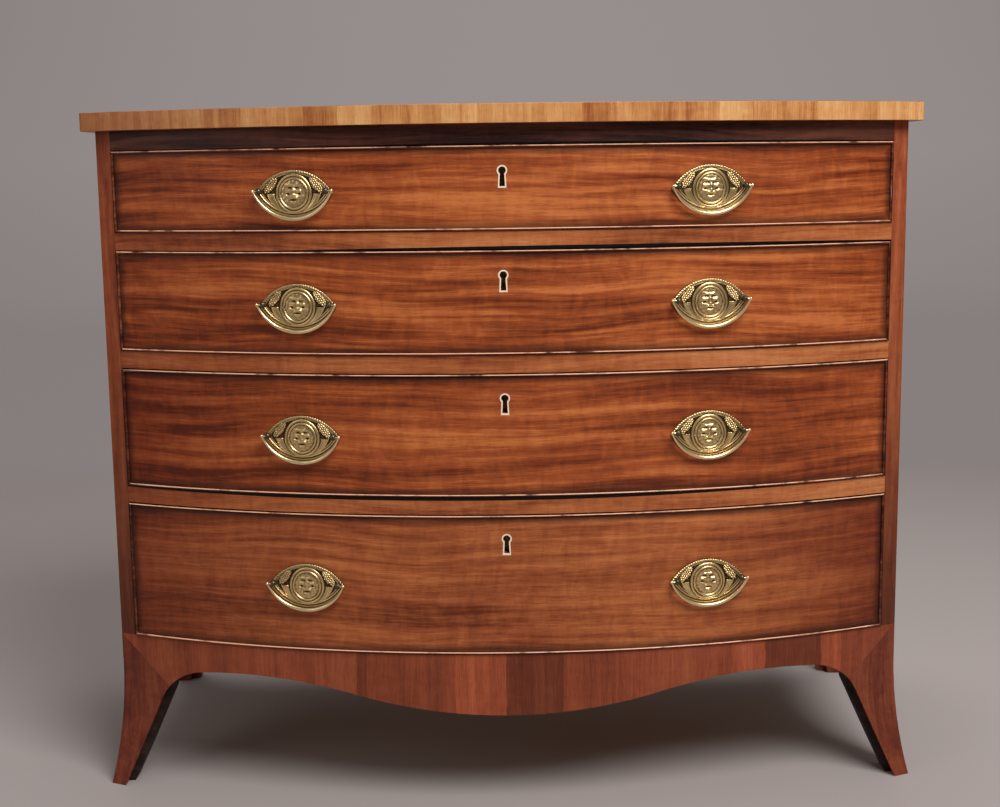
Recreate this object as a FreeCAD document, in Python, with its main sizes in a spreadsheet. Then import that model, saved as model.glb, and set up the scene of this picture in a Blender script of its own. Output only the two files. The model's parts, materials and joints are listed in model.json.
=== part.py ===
"""A bow front chest of drawers on splayed bracket feet, as separate pieces of joinery and brass.

Millimetres, +Z up, front towards -Y. The origin is on the floor under the middle of the top board.
"""
import FreeCAD, Part
import math
import os

import Sketcher

Vector = FreeCAD.Vector

# Driving dimensions in millimetres: name, size.
SIZES = (
    # case
    ("case_width", 1016),
    ("side_depth", 420),
    ("bow_rise", 109),
    ("side_thickness", 20),
    ("top_thickness", 23),
    ("top_overhang", 16),
    ("back_overhang", 6),
    ("bottom_height", 202.5),
    ("drawer_1_height", 101.6),
    ("drawer_2_height", 127),
    ("drawer_3_height", 152.4),
    ("drawer_4_height", 177.8),
    ("rail_height", 22),
    ("rail_depth", 58),
    ("top_rail_height", 24),
    ("runner_width", 34),
    ("dust_board_thickness", 8),
    ("bottom_thickness", 18),
    ("back_thickness", 10),
    ("stop_width", 45),
    ("stop_depth", 12),
    ("stop_height", 5),
    ("stop_offset", 330),
    ("stop_lead", 0.3),
    # apron and feet
    ("apron_thickness", 20),
    ("apron_depth", 79.5),
    ("arch_depth", 37.5),
    ("arch_place", 335),
    ("drop_radius", 780),
    ("arch_corner_radius", 72),
    ("foot_shoulder", 48),
    ("foot_splay", 20),
    ("splay_drop", 42.5),
    ("toe_width", 20),
    ("side_toe_width", 36),
    ("back_toe_width", 30),
    ("bracket_width", 78),
    ("bracket_tip", 22),
    ("bracket_toe", 14),
    ("bracket_radius", 260),
    ("bracket_thickness", 18),
    ("block_width", 24),
    ("block_height", 90),
    ("foot_block_show", 9),
    # drawers
    ("drawer_side_gap", 1),
    ("drawer_top_gap", 1.2),
    ("runner_gap", 0.3),
    ("front_thickness", 24),
    ("bead_width", 3),
    ("bead_proud", 2.5),
    ("bead_seat", 6),
    ("lining_thickness", 11),
    ("tail_pitch", 32),
    ("tail_share", 0.72),
    ("tail_slope", 8),
    ("tail_lap", 3),
    ("drawer_back_thickness", 10),
    ("drawer_bottom_thickness", 7),
    ("bottom_rise", 9),
    ("groove_depth", 4),
    ("drawer_end_gap", 9),
    ("lining_drop", 6),
    # lock and keyhole
    ("lock_width", 66),
    ("lock_height", 58),
    ("lock_thickness", 12),
    ("bolt_width", 20),
    ("bolt_thickness", 5),
    ("bolt_length", 26),
    ("bolt_gap", 0.15),
    ("bolt_drop", 0.5),
    ("mortise_gap", 1),
    ("mortise_depth", 10),
    ("keyhole_drop", 35),
    ("keyhole_radius", 4.4),
    ("keyhole_neck", 2.5),
    ("keyhole_length", 18.6),
    ("keyhole_flare", 3.3),
    ("escutcheon_band", 2),
    ("escutcheon_depth", 3),
    # handles
    ("handle_place", 250),
    ("handle_drop", 4),
    ("plate_margin", 6.5),
    ("plate_height", 56.5),
    ("plate_thickness", 1.2),
    ("medallion_radius", 23.5),
    ("medallion_rise", 2.6),
    ("rim_width", 2),
    ("post_spacing", 84.5),
    ("post_rise", 3),
    ("post_reach", 9),
    ("knob_radius", 4),
    ("neck_radius", 2.6),
    ("collar_radius", 4.2),
    ("collar_height", 1.4),
    ("shank_radius", 2),
    ("shank_end", 2),
    ("nut_radius", 5),
    ("nut_thickness", 4),
    ("nut_gap", 0.2),
    ("bail_radius", 2.5),
    ("bail_end_radius", 1.3),
    ("bail_tip_radius", 2.1),
    ("bail_rest_gap", 1),
    ("bail_pin_radius", 1),
    ("bail_pin_gap", 0.05),
    ("bail_pin_length", 3),
    ("bail_gap", 0.4),
    ("bail_lead", 0.5),
    ("bail_drop", 30.5),
    ("bail_fullness", 0.995),
)


def foot_places(kind, toe):
    """Return the places where a foot's straight inner edge leaves the round corner of the arch.

    toe says how far inside the case's corner the edge meets the floor.
    """
    run, span, touch = f"{kind}_run", f"{kind}_span", f"{kind}_touch"
    return (
        (f"{kind}_toe", toe),
        (run, f"foot_shoulder + arch_corner_radius - {kind}_toe"),
        (span, f"{run}^2 + spring_z^2"),
        (touch, f"sqrt({span} - arch_corner_radius^2)"),
        (f"{kind}_leave", f"foot_shoulder + arch_corner_radius"
                          f" * (1 - (arch_corner_radius * {run} + {touch} * spring_z) / {span})"),
        (f"{kind}_leave_z", f"spring_z + arch_corner_radius"
                            f" * ({touch} * {run} - arch_corner_radius * spring_z) / {span}"),
    )


# Places that follow from the sizes: name, expression.
PLACES = (
    ("half_width", "case_width / 2"),
    ("inner_half", "half_width - side_thickness"),
    ("bow_radius", "(half_width^2 + bow_rise^2) / (2 * bow_rise)"),
    ("overall_depth", "top_overhang + bow_rise + side_depth + back_overhang"),
    ("front_y", "top_overhang - overall_depth / 2"),
    ("bow_y", "front_y + bow_radius"),
    ("corner_y", "front_y + bow_rise"),
    ("back_y", "corner_y + side_depth"),
    ("rail_y", "corner_y + rail_depth"),
    ("lining_y", "back_y - back_thickness"),
    ("floor_4", "bottom_height"),
    ("floor_3", "floor_4 + drawer_4_height + rail_height"),
    ("floor_2", "floor_3 + drawer_3_height + rail_height"),
    ("floor_1", "floor_2 + drawer_2_height + rail_height"),
    ("opening_top", "floor_1 + drawer_1_height"),
    ("case_top", "opening_top + top_rail_height"),
    # apron outline: two tangent arcs, a corner arc and a mitre
    ("apron_drop_height", "bottom_height - apron_depth"),
    ("arch_height", "bottom_height - arch_depth"),
    ("splay_height", "bottom_height - splay_drop"),
    ("arch_rise", "arch_height - apron_drop_height"),
    ("arch_radii", "(arch_place^2 + arch_rise^2) / (2 * arch_rise)"),
    ("arch_radius", "arch_radii - drop_radius"),
    ("arch_centre_z", "arch_height - arch_radius"),
    ("turn_x", "arch_place * drop_radius / arch_radii"),
    ("turn_z", "apron_drop_height + drop_radius - sqrt(drop_radius^2 - turn_x^2)"),
    ("spring_x", "half_width - foot_shoulder"),
    ("bend_x", "spring_x - arch_corner_radius"),
    ("bend_reach", "arch_radius - arch_corner_radius"),
    ("spring_z", "arch_centre_z + sqrt(bend_reach^2 - (bend_x - arch_place)^2)"),
    *foot_places("front", "toe_width - foot_splay"),
    *foot_places("side", "side_toe_width - foot_splay"),
    *foot_places("back", "back_toe_width"),
    ("join_x", "arch_place + (bend_x - arch_place) * arch_radius / bend_reach"),
    ("join_z", "arch_centre_z + (spring_z - arch_centre_z) * arch_radius / bend_reach"),
    ("mitre_across", "half_width - bend_x"),
    ("mitre_up", "bottom_height - spring_z"),
    ("mitre_root", "2 * arch_corner_radius^2 - (mitre_across - mitre_up)^2"),
    ("mitre_length", "(mitre_across + mitre_up - sqrt(mitre_root)) / 2"),
    ("mitre_x", "half_width - mitre_length"),
    ("mitre_z", "bottom_height - mitre_length"),
    ("splay_radius", "(splay_height^2 + foot_splay^2) / (2 * foot_splay)"),
    ("side_spring_y", "corner_y + foot_shoulder"),
    ("back_spring_y", "back_y - foot_shoulder"),
    ("side_bend_y", "side_spring_y + arch_corner_radius"),
    ("side_join_front", "side_bend_y"),
    ("side_join_back", "back_spring_y - arch_corner_radius"),
    ("side_join_z", "spring_z + arch_corner_radius"),
    # drawers
    ("drawer_half", "inner_half - drawer_side_gap"),
    ("drawer_end_y", "lining_y - drawer_end_gap"),
    ("front_back_y", "front_y + front_thickness"),
    ("tail_y", "bow_y - sqrt((bow_radius - bead_seat)^2 - drawer_half^2) + tail_lap"),
    ("bead_nose", "bead_width / 3"),
    ("lock_y", "front_back_y - lock_thickness"),
    ("bolt_y", "front_back_y - lock_thickness / 2"),
    # handles, in the frame of one handle
    ("plate_width", "post_spacing + 2 * plate_margin"),
    ("post_x", "post_spacing / 2"),
    ("post_seat", "bow_radius - sqrt(bow_radius^2 - post_x^2)"),
    ("nut_seat", "bow_radius - sqrt((bow_radius - front_thickness)^2 - post_x^2) + nut_gap"),
    ("bail_start", "post_x + knob_radius + bail_gap"),
    ("bail_tip_x", "bail_start + bail_lead + bail_tip_radius"),
    ("bail_fall", "bail_drop + post_rise"),
    ("bail_curve", "bail_fullness * (bail_tip_x^2 + bail_fall^2) / (2 * bail_fall)"),
    ("bail_centre", "bail_curve - bail_fall"),
    ("bail_span", "sqrt(bail_tip_x^2 + bail_centre^2)"),
    ("bail_straight", "sqrt(bail_span^2 - bail_curve^2)"),
    ("bail_sweep_angle", "atan(bail_tip_x / bail_centre) - acos(bail_curve / bail_span)"),
    ("bail_rest_angle", "asin((post_reach - plate_thickness - bail_rest_gap - bail_radius) / bail_fall)"),
    ("handle_angle", "asin(handle_place / bow_radius)"),
    ("handle_y", "bow_y - sqrt(bow_radius^2 - handle_place^2)"),
)

DRAWERS = (1, 2, 3, 4)
BACK_BOARDS = 4
# How far a shape that only cuts reaches past what it cuts, and how far one through the bow does.
PAST = "10"
BEAD_REACH = f"bow_rise + 3 * {PAST}"
# How wide the rings about the bow's axis turn.
FLARE_ANGLE = 120
# Sections of the bail on each side of its middle.
BAIL_STEPS = 6

document = FreeCAD.newDocument("bow_front_chest")
sizes = document.addObject("Spreadsheet::Sheet", "sizes")
for row, (size_name, size) in enumerate(SIZES, start=1):
    sizes.set(f"A{row}", size_name)
    sizes.set(f"B{row}", str(size))
    sizes.setAlias(f"B{row}", size_name)
document.recompute()

HOMES = {size_name: "sizes." for size_name, size in SIZES}
HOMES.update((place_name, "places.") for place_name, rule in PLACES)


def spelled(rule):
    """Return rule with each size and place written as the expression engine finds it."""
    words = []
    word = ""
    for letter in rule + " ":
        if letter.isalnum() or letter == "_":
            word += letter
            continue
        words.append(HOMES.get(word, "") + word + letter)
        word = ""
    return "".join(words).strip()


places = document.addObject("App::VarSet", "places")
for place_name, rule in PLACES:
    kind = "App::PropertyAngle" if place_name.endswith("angle") else "App::PropertyFloat"
    places.addProperty(kind, place_name, "", "")
for place_name, rule in PLACES:
    places.setExpression(place_name, spelled(rule))
document.recompute()


def value(rule):
    """Return the present value of rule as a number."""
    result = places.evalExpression(spelled(rule))
    return float(getattr(result, "Value", result))


# Plane name: its role in a body, and whether its normal points along the row's own axis.
PLANES = {"XY": ("XY_Plane", True), "XZ": ("XZ_Plane", False), "YZ": ("YZ_Plane", True)}


def arc_between(start, end, radius, side):
    """Return the arc from start to end and whether it runs backwards.

    side is 1 where the centre lies left of the way from start to end, and -1 where it lies right.
    """
    chord = end - start
    height = math.sqrt(max(radius**2 - chord.Length**2 / 4, 0))
    left = Vector(-chord.y, chord.x, 0).normalize()
    centre = (start + end) / 2 + left * height * side
    first, last = (start, end) if side > 0 else (end, start)
    first_angle = math.atan2(first.y - centre.y, first.x - centre.x)
    last_angle = math.atan2(last.y - centre.y, last.x - centre.x)
    circle = Part.Circle(centre, Vector(0, 0, 1), radius)
    return Part.ArcOfCircle(circle, first_angle, last_angle), side < 0


def draw(sketch, corners, closed=True):
    """Draw the outline through corners: (x, y), or (x, y, radius, side) where an arc starts."""
    points = [Vector(value(corner[0]), value(corner[1]), 0) for corner in corners]
    ends = []
    for index, corner in enumerate(corners if closed else corners[:-1]):
        start, end = points[index], points[(index + 1) % len(points)]
        if len(corner) == 2:
            number = sketch.addGeometry(Part.LineSegment(start, end))
            ends.append((number, 1, 2))
        else:
            arc, backwards = arc_between(start, end, value(corner[2]), corner[3])
            number = sketch.addGeometry(arc)
            ends.append((number, 2, 1) if backwards else (number, 1, 2))
            held = sketch.addConstraint(Sketcher.Constraint("Radius", number, value(corner[2])))
            sketch.setExpression(f"Constraints[{held}]", spelled(corner[2]))
    held_ends = [(number, first) for number, first, last in ends]
    if not closed:
        held_ends.append((ends[-1][0], ends[-1][2]))
    for (number, spot), corner, point in zip(held_ends, corners, points):
        for axis, rule, place in (("DistanceX", corner[0], point.x), ("DistanceY", corner[1], point.y)):
            held = sketch.addConstraint(Sketcher.Constraint(axis, -1, 1, number, spot, place))
            sketch.setExpression(f"Constraints[{held}]", spelled(rule))
    for index, (number, first, last) in enumerate(ends):
        if closed or index + 1 < len(ends):
            follower = ends[(index + 1) % len(ends)]
            joined = Sketcher.Constraint("Coincident", number, last, follower[0], follower[1])
            sketch.addConstraint(joined)


def new_sketch(body, name, plane, corners, start="0", across="0", up="0"):
    """Add a sketch to body on a plane moved to start, with its own origin at across and up."""
    role, forward = PLANES[plane]
    sketch = body.newObject("Sketcher::SketchObject", name)
    support = [feature for feature in body.Origin.OriginFeatures if feature.Role == role]
    sketch.AttachmentSupport = [(support[0], "")]
    sketch.MapMode = "FlatFace"
    sketch.setExpression("AttachmentOffset.Base.x", spelled(across))
    sketch.setExpression("AttachmentOffset.Base.y", spelled(up))
    sketch.setExpression("AttachmentOffset.Base.z", spelled(start if forward else f"-({start})"))
    draw(sketch, corners)
    return sketch


def add_pad(body, name, plane, corners, length, start="0", across="0", up="0"):
    """Pad an outline in body, from start along the row's own axis."""
    pad = body.newObject("PartDesign::Pad", name)
    pad.Profile = new_sketch(body, name + "_outline", plane, corners, start, across, up)
    pad.Reversed = not PLANES[plane][1]
    pad.setExpression("Length", spelled(length))
    body.Tip = pad
    return pad


def new_body(label):
    """Return an empty body."""
    body = document.addObject("PartDesign::Body", label)
    body.Label = label
    return body


def prism(label, plane, corners, length, start="0", across="0", up="0"):
    """Return a body made by one pad."""
    body = new_body(label)
    add_pad(body, label + "_pad", plane, corners, length, start, across, up)
    return body


def turned(label, plane, corners, axis, across="0", up="0", angle=360):
    """Return a body turned about its sketch's own axis, the horizontal H_Axis or the upright V_Axis."""
    body = new_body(label)
    revolution = body.newObject("PartDesign::Revolution", label + "_turning")
    sketch = new_sketch(body, label + "_outline", plane, corners, "0", across, up)
    revolution.Profile = sketch
    revolution.ReferenceAxis = (sketch, [axis])
    revolution.Angle = angle
    revolution.Midplane = angle < 360
    body.Tip = revolution
    return body


def box(label, left, right, near, far, low, high):
    """Return a box between six planes."""
    piece = document.addObject("Part::Box", label)
    piece.Label = label
    for side, first, last in (("Length", left, right), ("Width", near, far), ("Height", low, high)):
        piece.setExpression(side, spelled(f"{last} - ({first})"))
    place(piece, left, near, low)
    return piece


def place(piece, across="0", back="0", up="0"):
    """Put piece at a place given by three rules."""
    for axis, rule in zip("xyz", (across, back, up)):
        piece.setExpression(f"Placement.Base.{axis}", spelled(rule))


def cut(label, base, *tools):
    """Return base with the tools taken away."""
    piece = document.addObject("Part::Cut", label)
    piece.Label = label
    piece.Base = base
    piece.Tool = tools[0] if len(tools) == 1 else fuse(label + "_tools", *tools)
    return piece


def fuse(label, *shapes):
    """Return the shapes joined to one."""
    piece = document.addObject("Part::MultiFuse", label)
    piece.Label = label
    piece.Shapes = list(shapes)
    return piece


def common(label, *shapes):
    """Return what the shapes share."""
    piece = document.addObject("Part::MultiCommon", label)
    piece.Label = label
    piece.Shapes = list(shapes)
    return piece


def mirrored(label, source):
    """Return source mirrored from right to left."""
    piece = document.addObject("Part::Mirroring", label)
    piece.Label = label
    piece.Source = source
    piece.Normal = Vector(1, 0, 0)
    return piece


NODES = []


def node(label, *pieces, up=None):
    """Keep the pieces as one sub-part, raised by a rule where one is given."""
    piece = document.addObject("Part::Compound", label)
    piece.Label = label
    piece.Links = list(pieces)
    if up:
        place(piece, up=up)
    NODES.append(piece)
    return piece


def bow(radius, across):
    """Return the rule for the y of a bow of this radius at a distance across from the middle."""
    return f"(bow_y - sqrt(({radius})^2 - ({across})^2))"


def bow_strip(outer, inner, half):
    """Return the plan of a curved strip between two radii."""
    return [
        (f"-({half})", bow(outer, half), outer, 1),
        (half, bow(outer, half)),
        (half, bow(inner, half), inner, -1),
        (f"-({half})", bow(inner, half)),
    ]


def bow_panel(radius, half, back):
    """Return the plan of a panel with a bowed front edge and a straight back."""
    return [
        (f"-({half})", bow(radius, half), radius, 1),
        (half, bow(radius, half)),
        (half, back),
        (f"-({half})", back),
    ]


def rectangle(left, right, low, high):
    """Return a rectangle's corners."""
    return [(left, low), (right, low), (right, high), (left, high)]


# --- Case ---------------------------------------------------------------------------------------

def make_case():
    """Make the top, sides, rails, runners, dust boards, stops, bottom and back."""
    top_half = "half_width + top_overhang"
    top_plan = bow_panel("bow_radius + top_overhang", top_half, "back_y + back_overhang")
    node("top_board", prism("top_blank", "XY", top_plan, "top_thickness", "case_top"))

    side_plan = [
        ("inner_half", bow("bow_radius", "inner_half"), "bow_radius", 1),
        ("half_width", "corner_y"),
        ("half_width", "back_y"),
        ("inner_half", "back_y"),
    ]
    side = prism("side_right", "XY", side_plan, "case_top - bottom_height", "bottom_height")
    node("case_sides", side, mirrored("side_left", side))

    rail_plan = bow_panel("bow_radius", "inner_half", "rail_y")
    top_rail = prism("top_rail_blank", "XY", rail_plan, "top_rail_height", "opening_top")
    back_rail = box("top_back_rail", "-inner_half", "inner_half", "lining_y - rail_depth", "lining_y",
                    "opening_top", "case_top")
    node("top_rails", cut("top_rail", top_rail, mortise("opening_top", 1)), back_rail)
    kicker = box("kicker_right", "inner_half - runner_width", "inner_half", "rail_y",
                 "lining_y - rail_depth", "opening_top", "case_top")

    rails, runners, boards = [], [kicker, mirrored("kicker_left", kicker)], []
    for number in (1, 2, 3):
        low, high = f"floor_{number} - rail_height", f"floor_{number}"
        rail = prism(f"rail_blank_{number}", "XY", rail_plan, "rail_height", low)
        rails.append(cut(f"rail_{number}", rail, mortise(low, number + 1)))
        runner = box(f"runner_right_{number}", "inner_half - runner_width", "inner_half", "rail_y",
                     "lining_y", low, high)
        runners += [runner, mirrored(f"runner_left_{number}", runner)]
        middle = f"floor_{number} - (rail_height - dust_board_thickness) / 2"
        boards.append(box(f"dust_board_{number}", "runner_width - inner_half", "inner_half - runner_width",
                          "rail_y", "lining_y", f"{middle} - dust_board_thickness", middle))
    node("drawer_rails", *rails)
    node("drawer_runners", *runners)
    node("dust_boards", *boards)

    stops = []
    stop_face = "bow_radius - front_thickness - stop_lead"
    stop_in, stop_out = "stop_offset - stop_width / 2", "stop_offset + stop_width / 2"
    stop_plan = [
        (stop_in, bow(stop_face, stop_in), stop_face, 1),
        (stop_out, bow(stop_face, stop_out)),
        (stop_out, f"{bow(stop_face, stop_out)} + stop_depth"),
        (stop_in, f"{bow(stop_face, stop_out)} + stop_depth"),
    ]
    for number in DRAWERS:
        stop = prism(f"stop_right_{number}", "XY", stop_plan, "stop_height", f"floor_{number}")
        stops += [stop, mirrored(f"stop_left_{number}", stop)]
    node("drawer_stops", *stops)

    bottom_plan = bow_panel("bow_radius - apron_thickness", "inner_half", "lining_y")
    node("bottom_board", prism("bottom_blank", "XY", bottom_plan, "bottom_thickness",
                               "bottom_height - bottom_thickness"))
    back_low = "bottom_height - bottom_thickness"
    back_share = f"(case_top - ({back_low})) / {BACK_BOARDS}"
    node("back_boards", *[
        box(f"back_board_{index}", "-inner_half", "inner_half", "lining_y", "back_y",
            f"{back_low} + {index} * {back_share}", f"{back_low} + {index + 1} * {back_share}")
        for index in range(BACK_BOARDS)])


def mortise(rail_bottom, number):
    """Return the pocket that takes the bolt of one drawer's lock."""
    return box(f"mortise_{number}", "-(bolt_width / 2 + mortise_gap)", "bolt_width / 2 + mortise_gap",
               "bolt_y - bolt_thickness / 2 - mortise_gap", "bolt_y + bolt_thickness / 2 + mortise_gap",
               f"{rail_bottom} - {PAST}", f"{rail_bottom} + mortise_depth")


# --- Apron and feet -----------------------------------------------------------------------------

def foot_edge(corner, kind, out):
    """Return a foot's inner edge from its toe to the mitre and up to the corner of the case.

    corner is a place along the face, kind picks the edge's own places, and out is the sign of the
    way out of the arch.
    """
    def along(distance):
        return f"{corner} - ({out}) * ({distance})"

    return [
        (along(f"{kind}_toe"), "0"),
        (along(f"{kind}_leave"), f"{kind}_leave_z", "arch_corner_radius", out),
        (along("mitre_length"), "mitre_z"),
        (corner, "bottom_height"),
    ]


def make_front_apron():
    """Make and return the serpentine front apron, which ends in a mitre against each foot."""
    right = [
        ("turn_x", "turn_z", "arch_radius", -1),
        ("join_x", "join_z", "arch_corner_radius", -1),
        ("mitre_x", "mitre_z"),
        ("half_width", "bottom_height"),
    ]
    outline = right + [
        ("-half_width", "bottom_height"),
        ("-mitre_x", "mitre_z", "arch_corner_radius", -1),
        ("-join_x", "join_z", "arch_radius", -1),
        ("-turn_x", "turn_z", "drop_radius", 1),
    ]
    shape = prism("apron_outline", "XZ", outline, f"bow_rise + apron_thickness + {PAST}", "front_y")
    plan = bow_strip("bow_radius", "bow_radius - apron_thickness", "half_width")
    strip = prism("apron_strip", "XY", plan, "bottom_height - apron_drop_height", "apron_drop_height")
    apron = common("apron", strip, shape)
    node("front_apron", apron)
    return apron


def flared_ring(label, inner, outer):
    """Return a ring about the bow's axis whose faces flare out towards the floor."""
    outline = [
        (f"-({inner} + foot_splay)", "0", "splay_radius", 1),
        (f"-({inner})", "splay_height"),
        (f"-({inner})", "bottom_height"),
        (f"-({outer})", "bottom_height"),
        (f"-({outer})", "splay_height", "splay_radius", -1),
        (f"-({outer} + foot_splay)", "0"),
    ]
    return turned(label, "YZ", outline, "V_Axis", across="bow_y", angle=FLARE_ANGLE)


def flared_plate(label, inner, near, far):
    """Return the flared plate that the side wings of the feet are cut from."""
    outline = [
        (f"{inner} + foot_splay", "0"),
        ("half_width + foot_splay", "0", "splay_radius", -1),
        ("half_width", "splay_height"),
        ("half_width", "bottom_height"),
        (inner, "bottom_height"),
        (inner, "splay_height", "splay_radius", 1),
    ]
    return prism(label, "XZ", outline, f"{far} - ({near})", near)


def make_feet(front_apron):
    """Make the splayed bracket feet, the side aprons between them and the blocks behind them."""
    inner_face = "bow_radius - apron_thickness"
    ring = flared_ring("foot_ring", inner_face, "bow_radius")
    clearing = flared_ring("foot_clearing", inner_face, "bow_radius + top_overhang + foot_splay")
    plate_inner = "half_width - apron_thickness"

    wing_outline = foot_edge("half_width", "front", 1) + [
        ("half_width", "splay_height", "splay_radius", 1),
        ("half_width + foot_splay", "0"),
    ]
    wing_shape = prism("front_wing_outline", "XZ", wing_outline,
                       f"bow_rise + apron_thickness + foot_splay + {PAST}", "front_y - foot_splay")
    front_wing = common("front_wing", ring, wing_shape)

    side_outline = foot_edge("corner_y", "side", -1) + [
        (f"corner_y - foot_splay - {PAST}", "bottom_height"),
        (f"corner_y - foot_splay - {PAST}", "0"),
    ]
    plate = flared_plate("front_side_plate", plate_inner, f"corner_y - foot_splay - {PAST}",
                         "corner_y + mitre_length + foot_shoulder")
    side_shape = prism("front_side_outline", "YZ", side_outline, f"side_thickness + foot_splay + {PAST}",
                       f"{plate_inner} - {PAST} / 2")
    side_wing = cut("front_side_wing", common("front_side_blank", plate, side_shape), clearing)
    foot = fuse("front_foot_right", front_wing, side_wing)
    node("front_feet", foot, mirrored("front_foot_left", foot))

    back_outline = foot_edge("back_y", "back", 1) + [("back_y", "0")]
    back_plate = flared_plate("back_side_plate", plate_inner, "back_spring_y - foot_shoulder", "back_y")
    back_shape = prism("back_side_outline", "YZ", back_outline, f"side_thickness + foot_splay + {PAST}",
                       f"{plate_inner} - {PAST} / 2")
    bracket_top = "bottom_height - bottom_thickness"
    bracket_outline = [
        (f"{plate_inner} + foot_splay", "0", "splay_radius", -1),
        (plate_inner, "splay_height"),
        (plate_inner, bracket_top),
        (f"{plate_inner} - bracket_width", bracket_top),
        (f"{plate_inner} - bracket_width", f"{bracket_top} - bracket_tip", "bracket_radius", -1),
        (f"{plate_inner} + foot_splay - bracket_toe", "0"),
    ]
    bracket = prism("back_bracket", "XZ", bracket_outline, "bracket_thickness", "back_y - bracket_thickness")
    back_foot = fuse("back_foot_right", common("back_side_wing", back_plate, back_shape), bracket)
    node("back_feet", back_foot, mirrored("back_foot_left", back_foot))

    apron_outline = [
        ("corner_y", "bottom_height"),
        ("corner_y + mitre_length", "mitre_z", "arch_corner_radius", -1),
        ("side_join_front", "side_join_z"),
        ("side_join_back", "side_join_z", "arch_corner_radius", -1),
        ("back_y - mitre_length", "mitre_z"),
        ("back_y", "bottom_height"),
    ]
    apron_plate = flared_plate("side_apron_plate", plate_inner, "corner_y", "back_y")
    apron_shape = prism("side_apron_outline", "YZ", apron_outline, f"side_thickness + foot_splay + {PAST}",
                        f"{plate_inner} - {PAST} / 2")
    apron = cut("side_apron_right", common("side_apron_blank", apron_plate, apron_shape), clearing)
    node("side_aprons", apron, mirrored("side_apron_left", apron))

    bite = "9 * apron_thickness / 10"
    block_outer = f"{plate_inner} + apron_thickness / 4"
    block_inner = "half_width - front_leave - foot_block_show"
    block_outline = [
        ("half_width - front_toe - foot_block_show", "0"),
        (f"{block_outer} + foot_splay", "0", "splay_radius", -1),
        (block_outer, "splay_height"),
        (block_outer, bracket_top),
        (block_inner, bracket_top),
        (block_inner, "front_leave_z"),
    ]
    block = prism("front_block_blank", "XZ", block_outline, f"block_width + {bite}",
                  f"{bow(inner_face, plate_inner)} - {bite}")
    side_block = prism("front_block_side", "YZ", [
        (f"corner_y - foot_splay - {PAST}", "0"),
        ("corner_y + side_toe + foot_block_show", "0"),
        ("corner_y + side_leave + foot_block_show", "side_leave_z"),
        ("corner_y + side_leave + foot_block_show", "bottom_height"),
        (f"corner_y - foot_splay - {PAST}", "bottom_height"),
    ], f"side_thickness + foot_splay + foot_shoulder + {PAST}", "inner_half - foot_shoulder")
    front_block = cut("front_block_right", common("front_block_shaped", block, side_block), foot,
                      front_apron, apron)
    back_block = box("back_block_right", f"{plate_inner} - block_width", plate_inner,
                     "back_y - bracket_thickness - block_width", "back_y - bracket_thickness",
                     f"{bracket_top} - block_height", bracket_top)
    node("glue_blocks", front_block, mirrored("front_block_left", front_block),
         back_block, mirrored("back_block_left", back_block))


# --- Handles ------------------------------------------------------------------------------------

def make_handle():
    """Make one handle in its own frame: x along the drawer, y into it, and z up.

    Returns its back plate, its posts, the nuts behind the front and its bail.
    """
    half_width, half_height = "plate_width / 2", "plate_height / 2"
    eye_radius = f"(({half_width})^2 + ({half_height})^2) / (2 * {half_height})"
    eye = [(f"-({half_width})", "0", eye_radius, 1), (half_width, "0", eye_radius, 1)]
    eye_shape = prism("plate_outline", "XZ", eye, f"2 * {PAST}", f"-{PAST}")
    skin = cut("plate_skin", bow_cylinder("skin_outer", "bow_radius + plate_thickness"),
               bow_cylinder("skin_inner", "bow_radius"))
    face = "-plate_thickness"
    medallion = turned("medallion", "XY", [
        ("0", "-plate_thickness / 2"),
        ("0", f"{face} - medallion_rise"),
        ("medallion_radius / 3", f"{face} - medallion_rise", "medallion_radius", 1),
        ("medallion_radius - 3 * rim_width", f"{face} - rim_width / 4"),
        ("medallion_radius - 2 * rim_width", f"{face} - rim_width / 4"),
        ("medallion_radius - rim_width", f"{face} - rim_width", "rim_width", 1),
        ("medallion_radius", "-plate_thickness / 2"),
    ], "V_Axis")
    blank = fuse("plate_blank", common("plate_lamina", eye_shape, skin), medallion)

    post = turned("post_blank", "XY", [
        ("0", "nut_seat + nut_thickness + shank_end"),
        ("0", "-post_reach - knob_radius", "knob_radius", 1),
        ("knob_radius", "-post_reach", "knob_radius", 1),
        ("neck_radius", "-post_reach + sqrt(knob_radius^2 - neck_radius^2)"),
        ("neck_radius", "post_seat - plate_thickness - collar_height"),
        ("collar_radius", "post_seat - plate_thickness - collar_height"),
        ("collar_radius", "post_seat - plate_thickness"),
        ("shank_radius", "post_seat - plate_thickness"),
        ("shank_radius", "nut_seat + nut_thickness + shank_end"),
    ], "V_Axis")
    place(post, "post_x", "0", "post_rise")
    way_start = "post_x - knob_radius - neck_radius"
    pin_way = lying_cylinder("pin_way", "bail_pin_radius + bail_pin_gap", way_start,
                             "post_x + knob_radius + neck_radius")
    place(pin_way, way_start, "-post_reach", "post_rise")
    post_right = cut("post_right", post, pin_way)
    post_left = mirrored("post_left", post_right)
    nut = turned("nut_right", "XY", [
        ("shank_radius", "nut_seat"),
        ("nut_radius", "nut_seat"),
        ("nut_radius", "nut_seat + nut_thickness"),
        ("shank_radius", "nut_seat + nut_thickness"),
    ], "V_Axis")
    place(nut, "post_x", "0", "post_rise")
    nut_left = mirrored("nut_left", nut)
    posts = [post_right, post_left]
    return cut("plate", blank, *posts), posts, [nut, nut_left], make_bail()


def bow_cylinder(label, radius):
    """Return a cylinder about the bow's axis as one handle sees it."""
    piece = document.addObject("Part::Cylinder", label)
    piece.Label = label
    piece.setExpression("Radius", spelled(radius))
    piece.setExpression("Height", spelled(f"plate_height + 2 * {PAST}"))
    place(piece, "0", "bow_radius", f"-plate_height / 2 - {PAST}")
    return piece


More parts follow.
